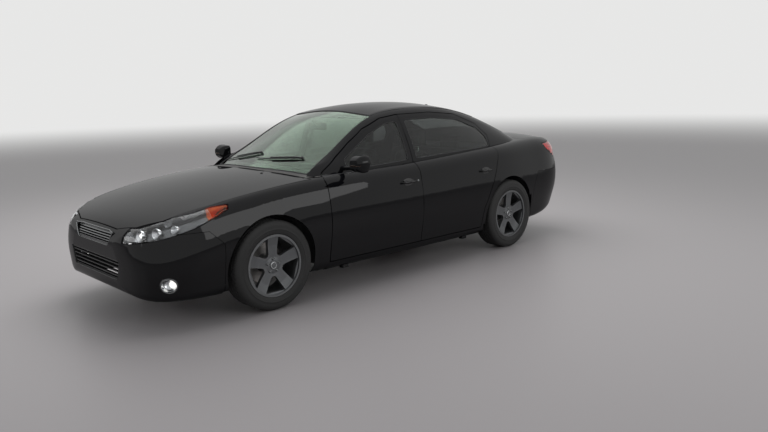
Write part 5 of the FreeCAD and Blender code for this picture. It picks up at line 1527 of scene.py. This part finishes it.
@dataclass
class Upholstery:
    """Makes padded pieces: shapes a shell, fills it out as cloth, then sews its seams."""

    frames: int = 20
    pressure: float = 4.0
    made: Dict[PadShape, bpy.types.Mesh] = field(default_factory=dict)

    def shell(self, shape: PadShape) -> bpy.types.Mesh:
        """Shapes a pad about the origin, its face up.

        Args:
            shape: The pad's form.

        Returns:
            Its mesh before filling.
        """
        work = bmesh.new()
        bmesh.ops.create_cube(work, size=2.0)
        bmesh.ops.subdivide_edges(work, edges=list(work.edges), cuts=9, use_grid_fill=True)
        for corner in work.verts:
            u, v, w = corner.co
            pull = 1.0 - 0.055 * (abs(u) ** 8 * abs(v) ** 8)
            side = 1.0 - 0.05 * w * w * (1.0 - 0.4 * abs(v))
            x = u * pull * side * shape.width / 2 * (1.0 - shape.taper * (v + 1) / 2)
            y = v * pull * side * shape.length / 2
            z = w * shape.thickness / 2
            if w > 0:
                edge = max(abs(u), abs(v))
                z += shape.crown * (1.0 - edge ** 4) * w
                ridge = math.exp(-((abs(u) - 0.80) / 0.14) ** 2)
                z += shape.bolster * ridge * w * (1.0 - 0.7 * max(0.0, abs(v) - 0.75) / 0.25)
            corner.co = Vector((x, y, z))
        bmesh.ops.smooth_vert(work, verts=work.verts, factor=0.5, use_axis_x=True, use_axis_y=True,
                              use_axis_z=True)
        mesh = bpy.data.meshes.new("pad_shell")
        work.to_mesh(mesh)
        work.free()
        return mesh

    def filled(self, shape: PadShape) -> bpy.types.Mesh:
        """Fills a pad out with the cloth solver, once for each form.

        Args:
            shape: The pad's form.

        Returns:
            The settled mesh.
        """
        if shape in self.made:
            return self.made[shape]
        pad = bpy.data.objects.new("pad_work", self.shell(shape))
        bpy.context.scene.collection.objects.link(pad)
        remesh = pad.modifiers.new("even", "REMESH")
        remesh.mode = "VOXEL"
        remesh.voxel_size = shape.voxel
        mesh = self.evaluated(pad)
        pad.modifiers.clear()
        pad.data = mesh
        rest = [corner.co.copy() for corner in mesh.vertices]
        cloth = pad.modifiers.new("fill", "CLOTH")
        cloth.settings.use_pressure = True
        cloth.settings.uniform_pressure_force = self.pressure
        cloth.settings.effector_weights.gravity = 0.0
        cloth.settings.quality = 4
        cloth.settings.mass = 0.4
        cloth.settings.tension_stiffness = 25
        cloth.settings.bending_stiffness = 2
        scene = bpy.context.scene
        for number in range(1, self.frames + 1):
            scene.frame_set(number)
        mesh = self.evaluated(pad)
        pad.modifiers.clear()
        pad.data = mesh
        for corner, start in zip(mesh.vertices, rest):
            moved = corner.co - start
            if moved.length > shape.cap:
                corner.co = start + moved * (shape.cap / moved.length)
        scene.frame_set(1)
        fine = pad.modifiers.new("fine", "SUBSURF")
        fine.levels = 1
        mesh = self.evaluated(pad)
        bpy.data.objects.remove(pad)
        mesh.shade_smooth()
        self.made[shape] = mesh
        return mesh

    def evaluated(self, piece: bpy.types.Object) -> bpy.types.Mesh:
        """Gives a piece's mesh with its modifiers applied."""
        graph = bpy.context.evaluated_depsgraph_get()
        graph.update()
        return bpy.data.meshes.new_from_object(piece.evaluated_get(graph))

    def pad(
        self, name: str, shape: PadShape, middle: Sequence[float], lean: float, body: str = "body",
        seams: Sequence[Tuple[Tuple[float, float], Tuple[float, float]]] = (), slot: str = "front_seats",
    ) -> bpy.types.Object:
        """Places one upholstered pad with its seams.

        Args:
            name: The piece's name.
            shape: Its form.
            middle: Its centre, in metres.
            lean: Its turn about the car's width, in degrees; 90 stands it up facing forwards.
            body: The CAD body that it rides on.
            seams: Start and end of each seam, as shares of the half width and half length.
            slot: Not used.

        Returns:
            The pad.
        """
        mesh = self.filled(shape).copy()
        place = Matrix.Translation(middle) @ Matrix.Rotation(math.radians(lean), 4, "X")
        tree_work = bmesh.new()
        tree_work.from_mesh(mesh)
        tree = BVHTree.FromBMesh(tree_work)
        tree_work.free()
        mesh.transform(place)
        mesh.materials.clear()
        mesh.materials.append(SEAT_CLOTH.material())
        mesh.materials.append(SEAT_SIDE.material())
        undo = place.inverted()
        for face in mesh.polygons:
            local = undo @ face.center
            inside = abs(local.x) < 0.31 * shape.width and local.z > 0
            face.material_index = 0 if inside else 1
        piece = bpy.data.objects.new(name, mesh)
        bpy.context.scene.collection.objects.link(piece)
        carry(piece, body)
        for number, (start, end) in enumerate(seams):
            route = []
            for k in range(15):
                share = k / 14
                x = (start[0] + (end[0] - start[0]) * share) * shape.width / 2
                y = (start[1] + (end[1] - start[1]) * share) * shape.length / 2
                found, normal, _, _ = tree.ray_cast(Vector((x, y, 0.5)), Vector((0, 0, -1)))
                if found is not None:
                    route.append(place @ (found + normal * 0.0002))
            if len(route) > 3:
                carry(tube(f"{name}_seam_{number}", route, 0.0016, STITCH), body)
        return piece


@dataclass
class Cabin:
    """Seats, dashboard, door linings and the small parts that people touch."""

    shell: BodyShell
    upholstery: Upholstery = field(default_factory=Upholstery)
    seat_x: float = 0.365
    floor_z: float = 0.2204
    dash_rear_y: float = -0.566
    wheel_centre: Triple = (0.365, -0.450, 0.800)
    column_angle: float = 24.0

    def build(self) -> None:
        """Fits out the cabin."""
        self.front_seats()
        self.rear_seat()
        self.dashboard()
        self.steering_wheel()
        self.console()
        for side in Side:
            self.door_lining("front", side)
            self.door_lining("rear", side)
            self.belt(side)
        self.pedals_and_mats()
        self.roof_fittings()

    def front_seats(self) -> None:
        """Makes two front seats on their rails."""
        cushion = PadShape(0.50, 0.50, 0.105, 0.016, 0.010)
        back = PadShape(0.47, 0.62, 0.095, 0.022, 0.008, taper=0.14)
        head = PadShape(0.25, 0.155, 0.075, 0.0, 0.010, taper=0.10, cap=0.006, voxel=0.008)
        lines = [((s * 0.62, -0.86), (s * 0.62, 0.86)) for s in (-1, 1)]
        across = [((-0.6, v), (0.6, v)) for v in (-0.45, 0.05, 0.5)]
        for side in Side:
            x = side.value * self.seat_x
            seat = self.upholstery.pad(f"front_cushion_{side.tag}", cushion, (x, 0.128, 0.398), -4.5,
                                       seams=lines + across)
            self.upholstery.pad(f"front_backrest_{side.tag}", back, (x, 0.445, 0.700), 76.5,
                                seams=lines + across)
            self.upholstery.pad(f"front_headrest_{side.tag}", head, (x, 0.550, 1.118), 80,
                                seams=[((-0.9, 0), (0.9, 0))])
            base = rounded_box(f"front_seat_base_{side.tag}", (x - 0.195, -0.085, 0.262),
                               (x + 0.195, 0.330, 0.352), 0.02,
                               CABIN_TRIM)
            carry(base, "body")
            valance = rounded_box(f"front_seat_side_{side.tag}", (x - 0.248, -0.095, 0.325),
                                  (x + 0.248, 0.385, 0.372),
                                  0.018, CABIN_TRIM)
            carry(valance, "body")
            for sign in (-1, 1):
                rail = rounded_box(f"front_seat_rail_{side.tag}_{'inner' if sign < 0 else 'outer'}",
                                   (x + sign * 0.17 - 0.018, -0.135, self.floor_z - 0.001),
                                   (x + sign * 0.17 + 0.018, 0.360, 0.268), 0.006, CAST_STEEL)
                carry(rail, "body")
                post = tube(f"front_headrest_post_{side.tag}_{'inner' if sign < 0 else 'outer'}",
                            [(x + sign * 0.06, 0.522, 0.960), (x + sign * 0.06, 0.545, 1.120)], 0.0055,
                            BRIGHT)
                carry(post, "body")
            lever = tube(f"front_seat_lever_{side.tag}",
                         [(x + side.value * 0.252, 0.26, 0.352), (x + side.value * 0.262, 0.16, 0.356),
                          (x + side.value * 0.258, 0.09, 0.350)], 0.008, CABIN_TRIM)
            carry(lever, "body")
            shellback = rounded_box(f"front_backrest_shell_{side.tag}", (x - 0.19, 0.0, -0.26),
                                    (x + 0.19, 0.022, 0.25), 0.01,
                                    CABIN_TRIM)
            turn = Matrix.Translation((0, 0.478, 0.690)) @ Matrix.Rotation(math.radians(-13.5), 4, "X")
            shellback.data.transform(turn)
            carry(shellback, "body")
        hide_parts("front_seats")

    def rear_seat(self) -> None:
        """Makes the rear bench."""
        cushion = PadShape(1.25, 0.34, 0.100, 0.010, 0.012, voxel=0.014)
        back = PadShape(1.08, 0.58, 0.080, 0.008, 0.010, taper=0.04, voxel=0.014)
        head = PadShape(0.24, 0.13, 0.052, 0.0, 0.006, cap=0.005, voxel=0.008)
        lines = [((u, -0.86), (u, 0.86)) for u in (-0.80, -0.18, 0.18, 0.80)]
        bench = self.upholstery.pad("rear_cushion", cushion, (0, 0.945, 0.418), -3.5, seams=lines,
                                    slot="rear_seat")
        self.upholstery.pad("rear_backrest", back, (0, 1.055, 0.700), 81, seams=lines, slot="rear_seat")
        for side in Side:
            self.upholstery.pad(f"rear_headrest_{side.tag}", head, (side.value * 0.33, 1.080, 1.040), 82,
                                seams=[((-0.9, 0), (0.9, 0))], slot="rear_seat")
            for sign in (-1, 1):
                x = side.value * 0.33 + sign * 0.05
                post = tube(f"rear_headrest_post_{side.tag}_{'inner' if sign < 0 else 'outer'}",
                            [(x, 1.075, 0.955), (x, 1.080, 1.03)], 0.0055, BRIGHT)
                carry(post, "body")
        plinth = rounded_box("rear_seat_plinth", (-0.62, 0.785, 0.3600), (0.62, 1.108, 0.386), 0.008,
                             CABIN_TRIM)
        carry(plinth, "body")
        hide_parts("rear_seat")

    def dashboard(self) -> None:
        """Adds dials, vents, the blank screen, knobs and the glove box line."""
        dress("dashboard", lambda centre, normal: CABIN_TRIM)
        dial_y = -0.5835
        for number, x in enumerate((self.seat_x + 0.075, self.seat_x - 0.075)):
            centre = Vector((x, dial_y, 0.868))
            face = turned("face", [(0.0, 0.048), (0.003, 0.048), (0.003, 0.0)], centre, (0, 1, 0), DIAL_FACE,
                          48)
            ring = turned("ring", [(0.0, 0.0475), (0.012, 0.0490), (0.0125, 0.0510), (0.0, 0.0525)], centre,
                          (0, 1, 0), BRIGHT,
                          48)
            parts = [face, ring]
            # The ticks glow faintly white: painted glow.
            for k in range(25):
                angle = math.radians(-130 + 260 * k / 24)
                way = Vector((-math.sin(angle), 0, math.cos(angle)))
                near = centre + Vector((0, 0.0038, 0)) + way * (0.036 if k % 4 else 0.032)
                far = centre + Vector((0, 0.0038, 0)) + way * 0.043
                parts.append(tube("tick", [near, far], 0.0008 if k % 4 else 0.0013, DIAL_MARK, smooth=False))
            angle = math.radians(-130)
            way = Vector((-math.sin(angle), 0, math.cos(angle)))
            # The needle glows faintly red: painted glow.
            parts.append(tube("needle", [centre + Vector((0, 0.006, 0)),
                                         centre + Vector((0, 0.006, 0)) + way * 0.038],
                              0.0012, RED_GLOW, smooth=False))
            parts.append(turned("boss", [(0.003, 0.009), (0.009, 0.008), (0.010, 0.0)], centre, (0, 1, 0),
                                BLACK_PLASTIC, 24))
            carry(join(f"dial_{number}", parts), "body")
        screen = rounded_box("centre_screen", (-0.098, -0.552, 0.655), (0.098, -0.5385, 0.765), 0.005,
                             SCREEN_FACE)
        carry(screen, "body")
        for number, x in enumerate((-0.64, -0.30, 0.06, 0.64)):
            self.vent(number, x)
        for number, x in enumerate((-0.07, 0.0, 0.07)):
            knob = turned(f"climate_knob_{number}",
                          [(-0.004, 0.021), (0.002, 0.021), (0.004, 0.017), (0.018, 0.0155),
                          (0.0195, 0.014), (0.0195, 0.0)], (x, -0.547, 0.622), (0, 1, 0), BLACK_PLASTIC, 36)
            carry(knob, "body")
        line = tube("glove_box_line", [(-0.22, -0.572, 0.735), (-0.66, -0.572, 0.735), (-0.66, -0.640, 0.650),
                                      (-0.22, -0.640, 0.650)], 0.0016, RUBBER, closed=True, smooth=False)
        carry(line, "body")
        latch = rounded_box("glove_box_latch", (-0.47, -0.580, 0.708), (-0.41, -0.560, 0.726), 0.004,
                            DARK_CHROME)
        carry(latch, "body")

    def vent(self, number: int, x: float) -> None:
        """Adds one air vent to the dashboard.

        Args:
            number: Its number, from the car's right.
            x: Its centre across the car.
        """
        y, z, half, tall = self.dash_rear_y, 0.828, 0.052, 0.024
        outline = [(x - half, y, z - tall), (x + half, y, z - tall), (x + half, y, z + tall),
                   (x - half, y, z + tall)]
        parts = [tube("frame", outline, 0.005, DARK_CHROME, closed=True, smooth=False)]
        for k in range(4):
            height = z - tall + (k + 1) * 2 * tall / 5
            parts.append(rounded_box("blade", (x - half, y - 0.012, height - 0.0013),
                                     (x + half, y + 0.002, height + 0.0013),
                                     0.001, BLACK_PLASTIC, 1))
        carry(join(f"air_vent_{number}", parts), "body")

    def steering_wheel(self) -> None:
        """Dresses the wheel and adds its hub pad and rim stitching."""
        centre = Vector(self.wheel_centre)
        angle = math.radians(self.column_angle)
        way = Vector((0, math.cos(angle), math.sin(angle)))
        up = Vector((0, -math.sin(angle), math.cos(angle)))

        def wheel(place: Vector, normal: Vector) -> Finish:
            """Leather on the rim, plastic on hub and spokes."""
            return SEAT_SIDE if (place - centre).length > 0.16 else BLACK_PLASTIC

        dress("steering_wheel", wheel)
        shape = PadShape(0.150, 0.115, 0.026, 0.0, 0.006, cap=0.003, voxel=0.005)
        mesh = self.upholstery.filled(shape).copy()
        turn = Matrix((Vector((1, 0, 0)), up, way)).transposed().to_4x4()
        mesh.transform(Matrix.Translation(centre + way * 0.016) @ turn)
        mesh.materials.clear()
        mesh.materials.append(SEAT_SIDE.material())
        pad = bpy.data.objects.new("steering_hub_pad", mesh)
        bpy.context.scene.collection.objects.link(pad)
        carry(pad, "steering_wheel")
        stitches = []
        for k in range(72):
            turn_angle = 2 * math.pi * k / 72
            radial = Vector((1, 0, 0)) * math.cos(turn_angle) + up * math.sin(turn_angle)
            start = centre + radial * 0.1665 - way * 0.0015
            stitches.append(tube("stitch", [start, start + way * 0.004], 0.0008, STITCH, smooth=False))
        carry(join("steering_rim_stitching", stitches), "steering_wheel")
        for sign in (-1, 1):
            buttons = []
            for k in range(3):
                place = centre + Vector((1, 0, 0)) * sign * (0.083 + 0.012 * k) + way * 0.010
                buttons.append(turned("button", [(-0.006, 0.005), (0.002, 0.005), (0.003, 0.004),
                                                 (0.003, 0.0)], place, way,
                                      DARK_CHROME, 20))
            carry(join(f"steering_buttons_{'right' if sign < 0 else 'left'}", buttons), "steering_wheel")

    def console(self) -> None:
        """Adds the gear lever's boot and knob, cup holders, hand brake and armrest pad."""
        gaiter = turned("gear_gaiter", [(0.0, 0.052), (0.012, 0.047), (0.026, 0.043), (0.034, 0.036),
                                        (0.050, 0.031),
                                       (0.060, 0.024), (0.085, 0.017), (0.100, 0.012)], (0, -0.405, 0.468),
                        (0, 0.1, 1),
                        SEAT_SIDE, 40)
        carry(gaiter, "body")
        knob = turned("gear_knob", [(-0.050, 0.0), (-0.048, 0.012), (-0.030, 0.020), (-0.008, 0.0245),
                                    (0.010, 0.0240),
                                   (0.020, 0.017), (0.024, 0.0)], (0, -0.3995, 0.612), (0, 0.1, 1), SEAT_SIDE,
                      40)
        carry(knob, "body")
        for number, y in enumerate((-0.30, -0.215)):
            ring = turned(f"cup_holder_{number}", [(0.0, 0.037), (0.003, 0.0375), (0.003, 0.0325),
                                                   (-0.001, 0.032),
                                                  (-0.001, 0.0)], (0.0, y, 0.4655), (0, 0, 1), DARK_CHROME,
                          40)
            carry(ring, "body")
        armrest = PadShape(0.165, 0.27, 0.030, 0.0, 0.006, cap=0.004, voxel=0.007)
        self.upholstery.pad("console_armrest", armrest, (0, 0.012, 0.577), 0,
                            seams=[((-0.7, -0.8), (-0.7, 0.8)),
                                                                                  ((0.7, -0.8), (0.7, 0.8))],
                            slot="front_seats")
        brake = tube("hand_brake", [(0.058, -0.19, 0.468), (0.058, -0.10, 0.500), (0.058, -0.125, 0.492)],
                     0.009, SEAT_SIDE)
        carry(brake, "body")

    def door_lining(self, row: str, side: Side) -> None:
        """Adds the armrest, pull, switches, speaker and pads of one door.

        Args:
            row: "front" or "rear".
            side: Side of the car.
        """
        s = side.value
        body = f"door_{row}_{side.tag}"
        y0, y1 = (-0.56, -0.06) if row == "front" else (0.36, 0.82)
        face = self.shell.door_inner_x

        def block(name: str, x0: float, x1: float, ya: float, yb: float, z0: float, z1: float, radius: float,
                  finish: Finish) -> bpy.types.Object:
            """Makes a rounded block on the door's inner face."""
            low = (min(s * x0, s * x1), ya, z0)
            high = (max(s * x0, s * x1), yb, z1)
            return rounded_box(name, low, high, radius, finish)

        parts = [
            block("rest", face - 0.052, face + 0.002, y0, y1, 0.605, 0.648, 0.016, CABIN_TRIM),
            block("insert", face - 0.012, face + 0.002, y0 - 0.04, y1 + 0.03, 0.672, 0.800, 0.006,
                  SEAT_CLOTH),
            block("pocket", face - 0.028, face + 0.002, y0 + 0.02, y1 - 0.05, 0.330, 0.440, 0.014,
                  CABIN_TRIM),
            block("grip", face - 0.040, face - 0.012, y1 - 0.19, y1 - 0.02, 0.652, 0.676, 0.008, SEAT_SIDE),
            block("switches", face - 0.046, face - 0.012, y0 + 0.05, y0 + 0.19, 0.646, 0.655, 0.003,
                  GLOSS_BLACK),
        ]
        count = 4 if row == "front" and side is Side.LEFT else 1
        for k in range(count):
            parts.append(block("switch", face - 0.040, face - 0.022, y0 + 0.062 + 0.03 * k,
                               y0 + 0.082 + 0.03 * k, 0.652, 0.662,
                               0.003, BLACK_PLASTIC))
        carry(join(f"door_lining_{row}_{side.tag}", parts), body)
        pull = tube(f"door_release_{row}_{side.tag}",
                    [(s * (face - 0.004), y0 + 0.02, 0.745), (s * (face - 0.026), y0 + 0.035, 0.745),
                     (s * (face - 0.026), y0 + 0.085, 0.745), (s * (face - 0.014), y0 + 0.10, 0.745)], 0.006,
                    BRIGHT)
        carry(pull, body)
        centre = (s * (face + 0.001), y0 - 0.02, 0.415) if row == "front" else (s * (face + 0.001), y1 - 0.02,
                                                                                0.50)
        rings = [turned("ring", [(-0.001, 0.078), (0.007, 0.076), (0.008, 0.071), (0.003, 0.069)], centre,
                        (-s, 0, 0),
                        BLACK_PLASTIC, 48)]
        for k in range(6):
            radius = 0.066 - 0.011 * k
            rings.append(turned("rib", [(0.0, radius), (0.005, radius - 0.001), (0.005, radius - 0.0045),
                                        (0.0, radius - 0.0055)],
                                centre, (-s, 0, 0), BLACK_PLASTIC, 40))
        carry(join(f"door_speaker_{row}_{side.tag}", rings), body)

    def belt(self, side: Side) -> None:
        """Lays the front seat belt against the middle post.

        Args:
            side: Side of the car.
        """
        s = side.value
        surface = self.shell.surface("side_frames")
        points, faces = [], []
        heights = [0.46 + 0.055 * k for k in range(13)]
        for z in heights:
            place, _, _, _ = surface.tree.ray_cast(Vector((s * 0.3, 0.03, z)), Vector((s, 0, 0)))
            if place is None:
                continue
            for dy in (-0.023, 0.023):
                points.append((place.x - s * 0.006, 0.03 + dy, z))
        for k in range(len(points) // 2 - 1):
            faces.append((2 * k, 2 * k + 1, 2 * k + 3, 2 * k + 2))
        if not faces:
            return
        strap = new_mesh(f"seat_belt_{side.tag}", points, faces, CARPET)
        strap.modifiers.new("web", "SOLIDIFY").thickness = 0.0014
        carry(strap, "body")

    def pedals_and_mats(self) -> None:
        """Adds three pedals and the floor mats."""
        for number, x in enumerate((0.285, 0.375, 0.465)):
            pad = rounded_box("pad", (x - 0.03, -0.735, 0.335), (x + 0.03, -0.722, 0.395 if number else 0.44),
                              0.005, RUBBER)
            arm = tube("arm", [(x, -0.730, 0.37), (x, -0.775, 0.47), (x, -0.800, 0.575)], 0.008, CAST_STEEL)
            carry(join(f"pedal_{number}", [pad, arm]), "body")
        for side in Side:
            x0, x1 = sorted((side.value * 0.165, side.value * 0.640))
            for row, y0, y1 in (("front", -0.80, -0.16), ("rear", 0.47, 0.79)):
                mat = rounded_box(f"floor_mat_{row}_{side.tag}", (x0, y0, self.floor_z - 0.0004),
                                  (x1, y1, self.floor_z + 0.008),
                                  0.004, CARPET)
                carry(mat, "body")
                z = self.floor_z + 0.008
                edge = tube(f"floor_mat_edge_{row}_{side.tag}",
                            [(x0 + 0.012, y0 + 0.012, z), (x1 - 0.012, y0 + 0.012, z),
                            (x1 - 0.012, y1 - 0.012, z), (x0 + 0.012, y1 - 0.012, z)], 0.0022, STITCH,
                            closed=True,
                            smooth=False)
                carry(edge, "body")

    def roof_fittings(self) -> None:
        """Adds the inside mirror, the sun visors and the roof lamp."""
        glass = self.shell.surface("windshield")
        foot, _ = glass.hit((0, -0.38, 0.9), (0, 0, 1))
        stem_end = foot + Vector((0, 0.05, -0.055))
        stem = tube("inside_mirror_stem", [foot, foot + Vector((0, 0.02, -0.04)), stem_end], 0.007,
                    BLACK_PLASTIC)
        carry(stem, "body")
        c = stem_end
        shell_part = rounded_box("shell", (c.x - 0.12, c.y - 0.010, c.z - 0.034),
                                 (c.x + 0.12, c.y + 0.016, c.z + 0.034), 0.012,
                                 BLACK_PLASTIC)
        pane = rounded_box("pane", (c.x - 0.112, c.y + 0.0135, c.z - 0.027),
                           (c.x + 0.112, c.y + 0.0175, c.z + 0.027), 0.0018,
                           MIRROR, 1)
        carry(join("inside_mirror", [shell_part, pane]), "body")
        roof = self.shell.surface("roof_panel")
        place, _ = roof.hit((0, 0.10, 0.9), (0, 0, 1))
        lamp = rounded_box("roof_lamp", (-0.07, 0.06, place.z - 0.016), (0.07, 0.15, place.z + 0.004), 0.008,
                           CLEAR_LENS)
        carry(lamp, "body")
        for side in Side:
            x = side.value * 0.30
            ys = (-0.20, -0.08)
            tops = [roof.hit((x, y, 0.9), (0, 0, 1))[0].z for y in (-0.12, -0.06)]
            z = min(tops) - 0.012
            low, high = sorted((x - 0.17, x + 0.17))
            visor = rounded_box(f"sun_visor_{side.tag}", (low, ys[0], z - 0.020),
                                (high, ys[1] + 0.03, z - 0.002), 0.008, HEADLINER)
            carry(visor, "body")
            rod = tube(f"sun_visor_rod_{side.tag}",
                       [(x + side.value * 0.16, -0.06, z - 0.010), (x + side.value * 0.16, -0.055,
                       z + 0.020)], 0.005, CABIN_TRIM)
            carry(rod, "body")


@dataclass
class EngineBay:
    """Covers and boxes round the engine."""

    def build(self) -> None:
        """Adds the engine cover, battery, coolant tank and filler caps."""
        cover = [rounded_box("cover", (-0.235, -1.78, 0.755), (0.215, -1.27, 0.792), 0.016, BLACK_PLASTIC)]
        for k in range(6):
            x = -0.185 + 0.07 * k
            cover.append(rounded_box("rib", (x, -1.74, 0.786), (x + 0.026, -1.31, 0.800), 0.005,
                                     BLACK_PLASTIC))
        carry(join("engine_cover", cover), "body")
        cap = turned("oil_filler_cap", [(-0.004, 0.026), (0.010, 0.026), (0.014, 0.022), (0.016, 0.0)],
                     (0.255, -1.60, 0.760),
                     (0, 0, 1), RUBBER, 32)
        carry(cap, "body")
        battery = [rounded_box("case", (0.345, -1.955, 0.5295), (0.525, -1.715, 0.700), 0.008, BLACK_PLASTIC),
                   rounded_box("lid", (0.342, -1.958, 0.694), (0.528, -1.712, 0.716), 0.006, PRIMER)]
        for y in (-1.915, -1.755):
            battery.append(turned("terminal", [(0.0, 0.012), (0.012, 0.010), (0.013, 0.0)], (0.375, y, 0.714),
                                  (0, 0, 1),
                                  CAST_ALLOY, 24))
        carry(join("battery", battery), "body")
        tank = [rounded_box("tank", (-0.520, -1.930, 0.5295), (-0.360, -1.750, 0.665), 0.025, PLATE_WHITE, 4),
                turned("cap", [(-0.006, 0.027), (0.014, 0.027), (0.018, 0.023), (0.019, 0.0)],
                       (-0.440, -1.840, 0.665),
                       (0, 0, 1), BLACK_PLASTIC, 32)]
        carry(join("coolant_tank", tank), "body")


@dataclass
class Studio:
    """Floor, light and the camera at the photograph's angle."""

    floor_reach: float = 90.0
    near_colour: Triple = (0.345, 0.325, 0.33)
    pale: Triple = (0.80, 0.80, 0.795)
    camera_place: Triple = (5.10, -4.30, 1.58)
    yaw: float = 136.97
    pitch: float = -10.16
    roll: float = -1.4
    focal_pixels: float = 711.0
    image_width: float = 768.0

    def build(self) -> None:
        """Sets up the studio."""
        self.floor()
        self.world()
        self.lights()
        self.camera()
        bpy.context.scene.view_settings.view_transform = "Standard"

    def floor(self) -> None:
        """Makes the floor, darker near the car and lighter far away as painted falloff of light, fading into
        the pale background far away.
        """
        reach = self.floor_reach
        floor = new_mesh("studio_floor", [(-reach, -reach, 0), (reach, -reach, 0), (reach, reach, 0),
                                          (-reach, reach, 0)],
                         [(0, 1, 2, 3)], PLATE_WHITE, smooth=False)
        material = bpy.data.materials.new("studio_floor")
        material.use_nodes = True
        tree = material.node_tree
        shader = tree.nodes["Principled BSDF"]
        shader.inputs["Roughness"].default_value = 0.45
        place = tree.nodes.new("ShaderNodeTexCoord")
        length = tree.nodes.new("ShaderNodeVectorMath")
        length.operation = "LENGTH"
        painted_falloff = tree.nodes.new("ShaderNodeMapRange")
        painted_falloff.interpolation_type = "SMOOTHSTEP"
        painted_falloff.inputs["From Min"].default_value = 13.0
        painted_falloff.inputs["From Max"].default_value = 34.0
        # The floor's colour goes from darker near the car to lighter far away: painted shade near and painted
        # light far off.
        colour = tree.nodes.new("ShaderNodeMix")
        colour.data_type = "RGBA"
        colour.inputs["A"].default_value = (*self.near_colour, 1)
        colour.inputs["B"].default_value = (0.50, 0.50, 0.485, 1)
        # Far off the floor glows pale to camera, mirrored and passed rays: painted light that blends it into
        # the background.
        glow = tree.nodes.new("ShaderNodeEmission")
        glow.inputs["Color"].default_value = (*self.pale, 1)
        seen = tree.nodes.new("ShaderNodeMath")
        seen.operation = "MULTIPLY"
        mix = tree.nodes.new("ShaderNodeMixShader")
        tree.links.new(place.outputs["Object"], length.inputs[0])
        tree.links.new(length.outputs["Value"], painted_falloff.inputs["Value"])
        tree.links.new(painted_falloff.outputs["Result"], colour.inputs["Factor"])
        tree.links.new(colour.outputs["Result"], shader.inputs["Base Color"])
        tree.links.new(painted_falloff.outputs["Result"], seen.inputs[0])
        tree.links.new(self.straight_rays(tree), seen.inputs[1])
        tree.links.new(seen.outputs[0], mix.inputs["Fac"])
        tree.links.new(shader.outputs["BSDF"], mix.inputs[1])
        tree.links.new(glow.outputs["Emission"], mix.inputs[2])
        tree.links.new(mix.outputs["Shader"], tree.nodes["Material Output"].inputs["Surface"])
        floor.data.materials.clear()
        floor.data.materials.append(material)

    def straight_rays(self, tree: bpy.types.NodeTree) -> bpy.types.NodeSocket:
        """Tells the rays that show the background from those that light the room.

        Args:
            tree: The nodes that it is added to.

        Returns:
            A socket of 1 for camera, mirrored and passed rays, and 0 for the others.
        """
        path = tree.nodes.new("ShaderNodeLightPath")
        total = path.outputs["Is Camera Ray"]
        for name in ("Is Glossy Ray", "Is Transmission Ray"):
            add = tree.nodes.new("ShaderNodeMath")
            add.operation = "ADD"
            add.use_clamp = True
            tree.links.new(total, add.inputs[0])
            tree.links.new(path.outputs[name], add.inputs[1])
            total = add.outputs[0]
        return total

    def world(self) -> None:
        """Lights the room softly and shows it pale to the camera and in reflections."""
        world = bpy.data.worlds.new("studio")
        bpy.context.scene.world = world
        world.use_nodes = True
        tree = world.node_tree
        room = tree.nodes["Background"]
        room.inputs["Color"].default_value = (0.80, 0.82, 0.84, 1)
        room.inputs["Strength"].default_value = 0.42
        pale = tree.nodes.new("ShaderNodeBackground")
        pale.inputs["Color"].default_value = (*self.pale, 1)
        pale.inputs["Strength"].default_value = 1.0
        mix = tree.nodes.new("ShaderNodeMixShader")
        tree.links.new(self.straight_rays(tree), mix.inputs["Fac"])
        tree.links.new(room.outputs["Background"], mix.inputs[1])
        tree.links.new(pale.outputs["Background"], mix.inputs[2])
        tree.links.new(mix.outputs["Shader"], tree.nodes["World Output"].inputs["Surface"])

    def lights(self) -> None:
        """Hangs three soft boxes; the one overhead isn't mirrored in the windscreen."""
        for name, place, target, size, power in (
            ("overhead", (-1.4, 0.6, 4.6), (0, 0, 0), (4.5, 6.5), 260.0),
            ("left_wall", (7.5, 1.5, 3.2), (0, 0, 0.6), (7.0, 2.2), 105.0),
            ("front_wall", (-2.0, -8.0, 3.0), (0, -1.0, 0.6), (6.0, 2.0), 85.0),
        ):
            lamp = bpy.data.lights.new(name, "AREA")
            lamp.shape = "RECTANGLE"
            lamp.size, lamp.size_y = size
            lamp.energy = power
            holder = bpy.data.objects.new(name, lamp)
            holder.location = place
            way = Vector(target) - Vector(place)
            holder.rotation_euler = way.to_track_quat("-Z", "Y").to_euler()
            holder.visible_glossy = name != "overhead"
            bpy.context.scene.collection.objects.link(holder)

    def camera(self) -> None:
        """Stands the camera where the photograph was taken from."""
        yaw, pitch, roll = (math.radians(a) for a in (self.yaw, self.pitch, self.roll))
        ahead = Vector((math.cos(pitch) * math.cos(yaw), math.cos(pitch) * math.sin(yaw), math.sin(pitch)))
        right = ahead.cross(Vector((0, 0, 1))).normalized()
        up = right.cross(ahead)
        turned_right = right * math.cos(roll) + up * math.sin(roll)
        turned_up = up * math.cos(roll) - right * math.sin(roll)
        basis = Matrix((turned_right, turned_up, -ahead)).transposed().to_4x4()
        view = bpy.data.cameras.new("photo_camera")
        view.sensor_width = 36.0
        view.lens = self.focal_pixels / self.image_width * view.sensor_width
        view.clip_end = 300.0
        holder = bpy.data.objects.new("photo_camera", view)
        holder.matrix_world = Matrix.Translation(self.camera_place) @ basis
        bpy.context.scene.collection.objects.link(holder)
        bpy.context.scene.camera = holder


def main() -> None:
    """Builds the car's looks and the studio."""
    logging.basicConfig(level=logging.INFO, format="%(name)s: %(message)s")
    shell = BodyShell()
    for part in (shell, Lamps(shell), RoadWheels(), Cabin(shell), EngineBay(), Studio()):
        part.build()
        LOG.info("%s done", type(part).__name__)


if __name__ == "__main__":
    main()
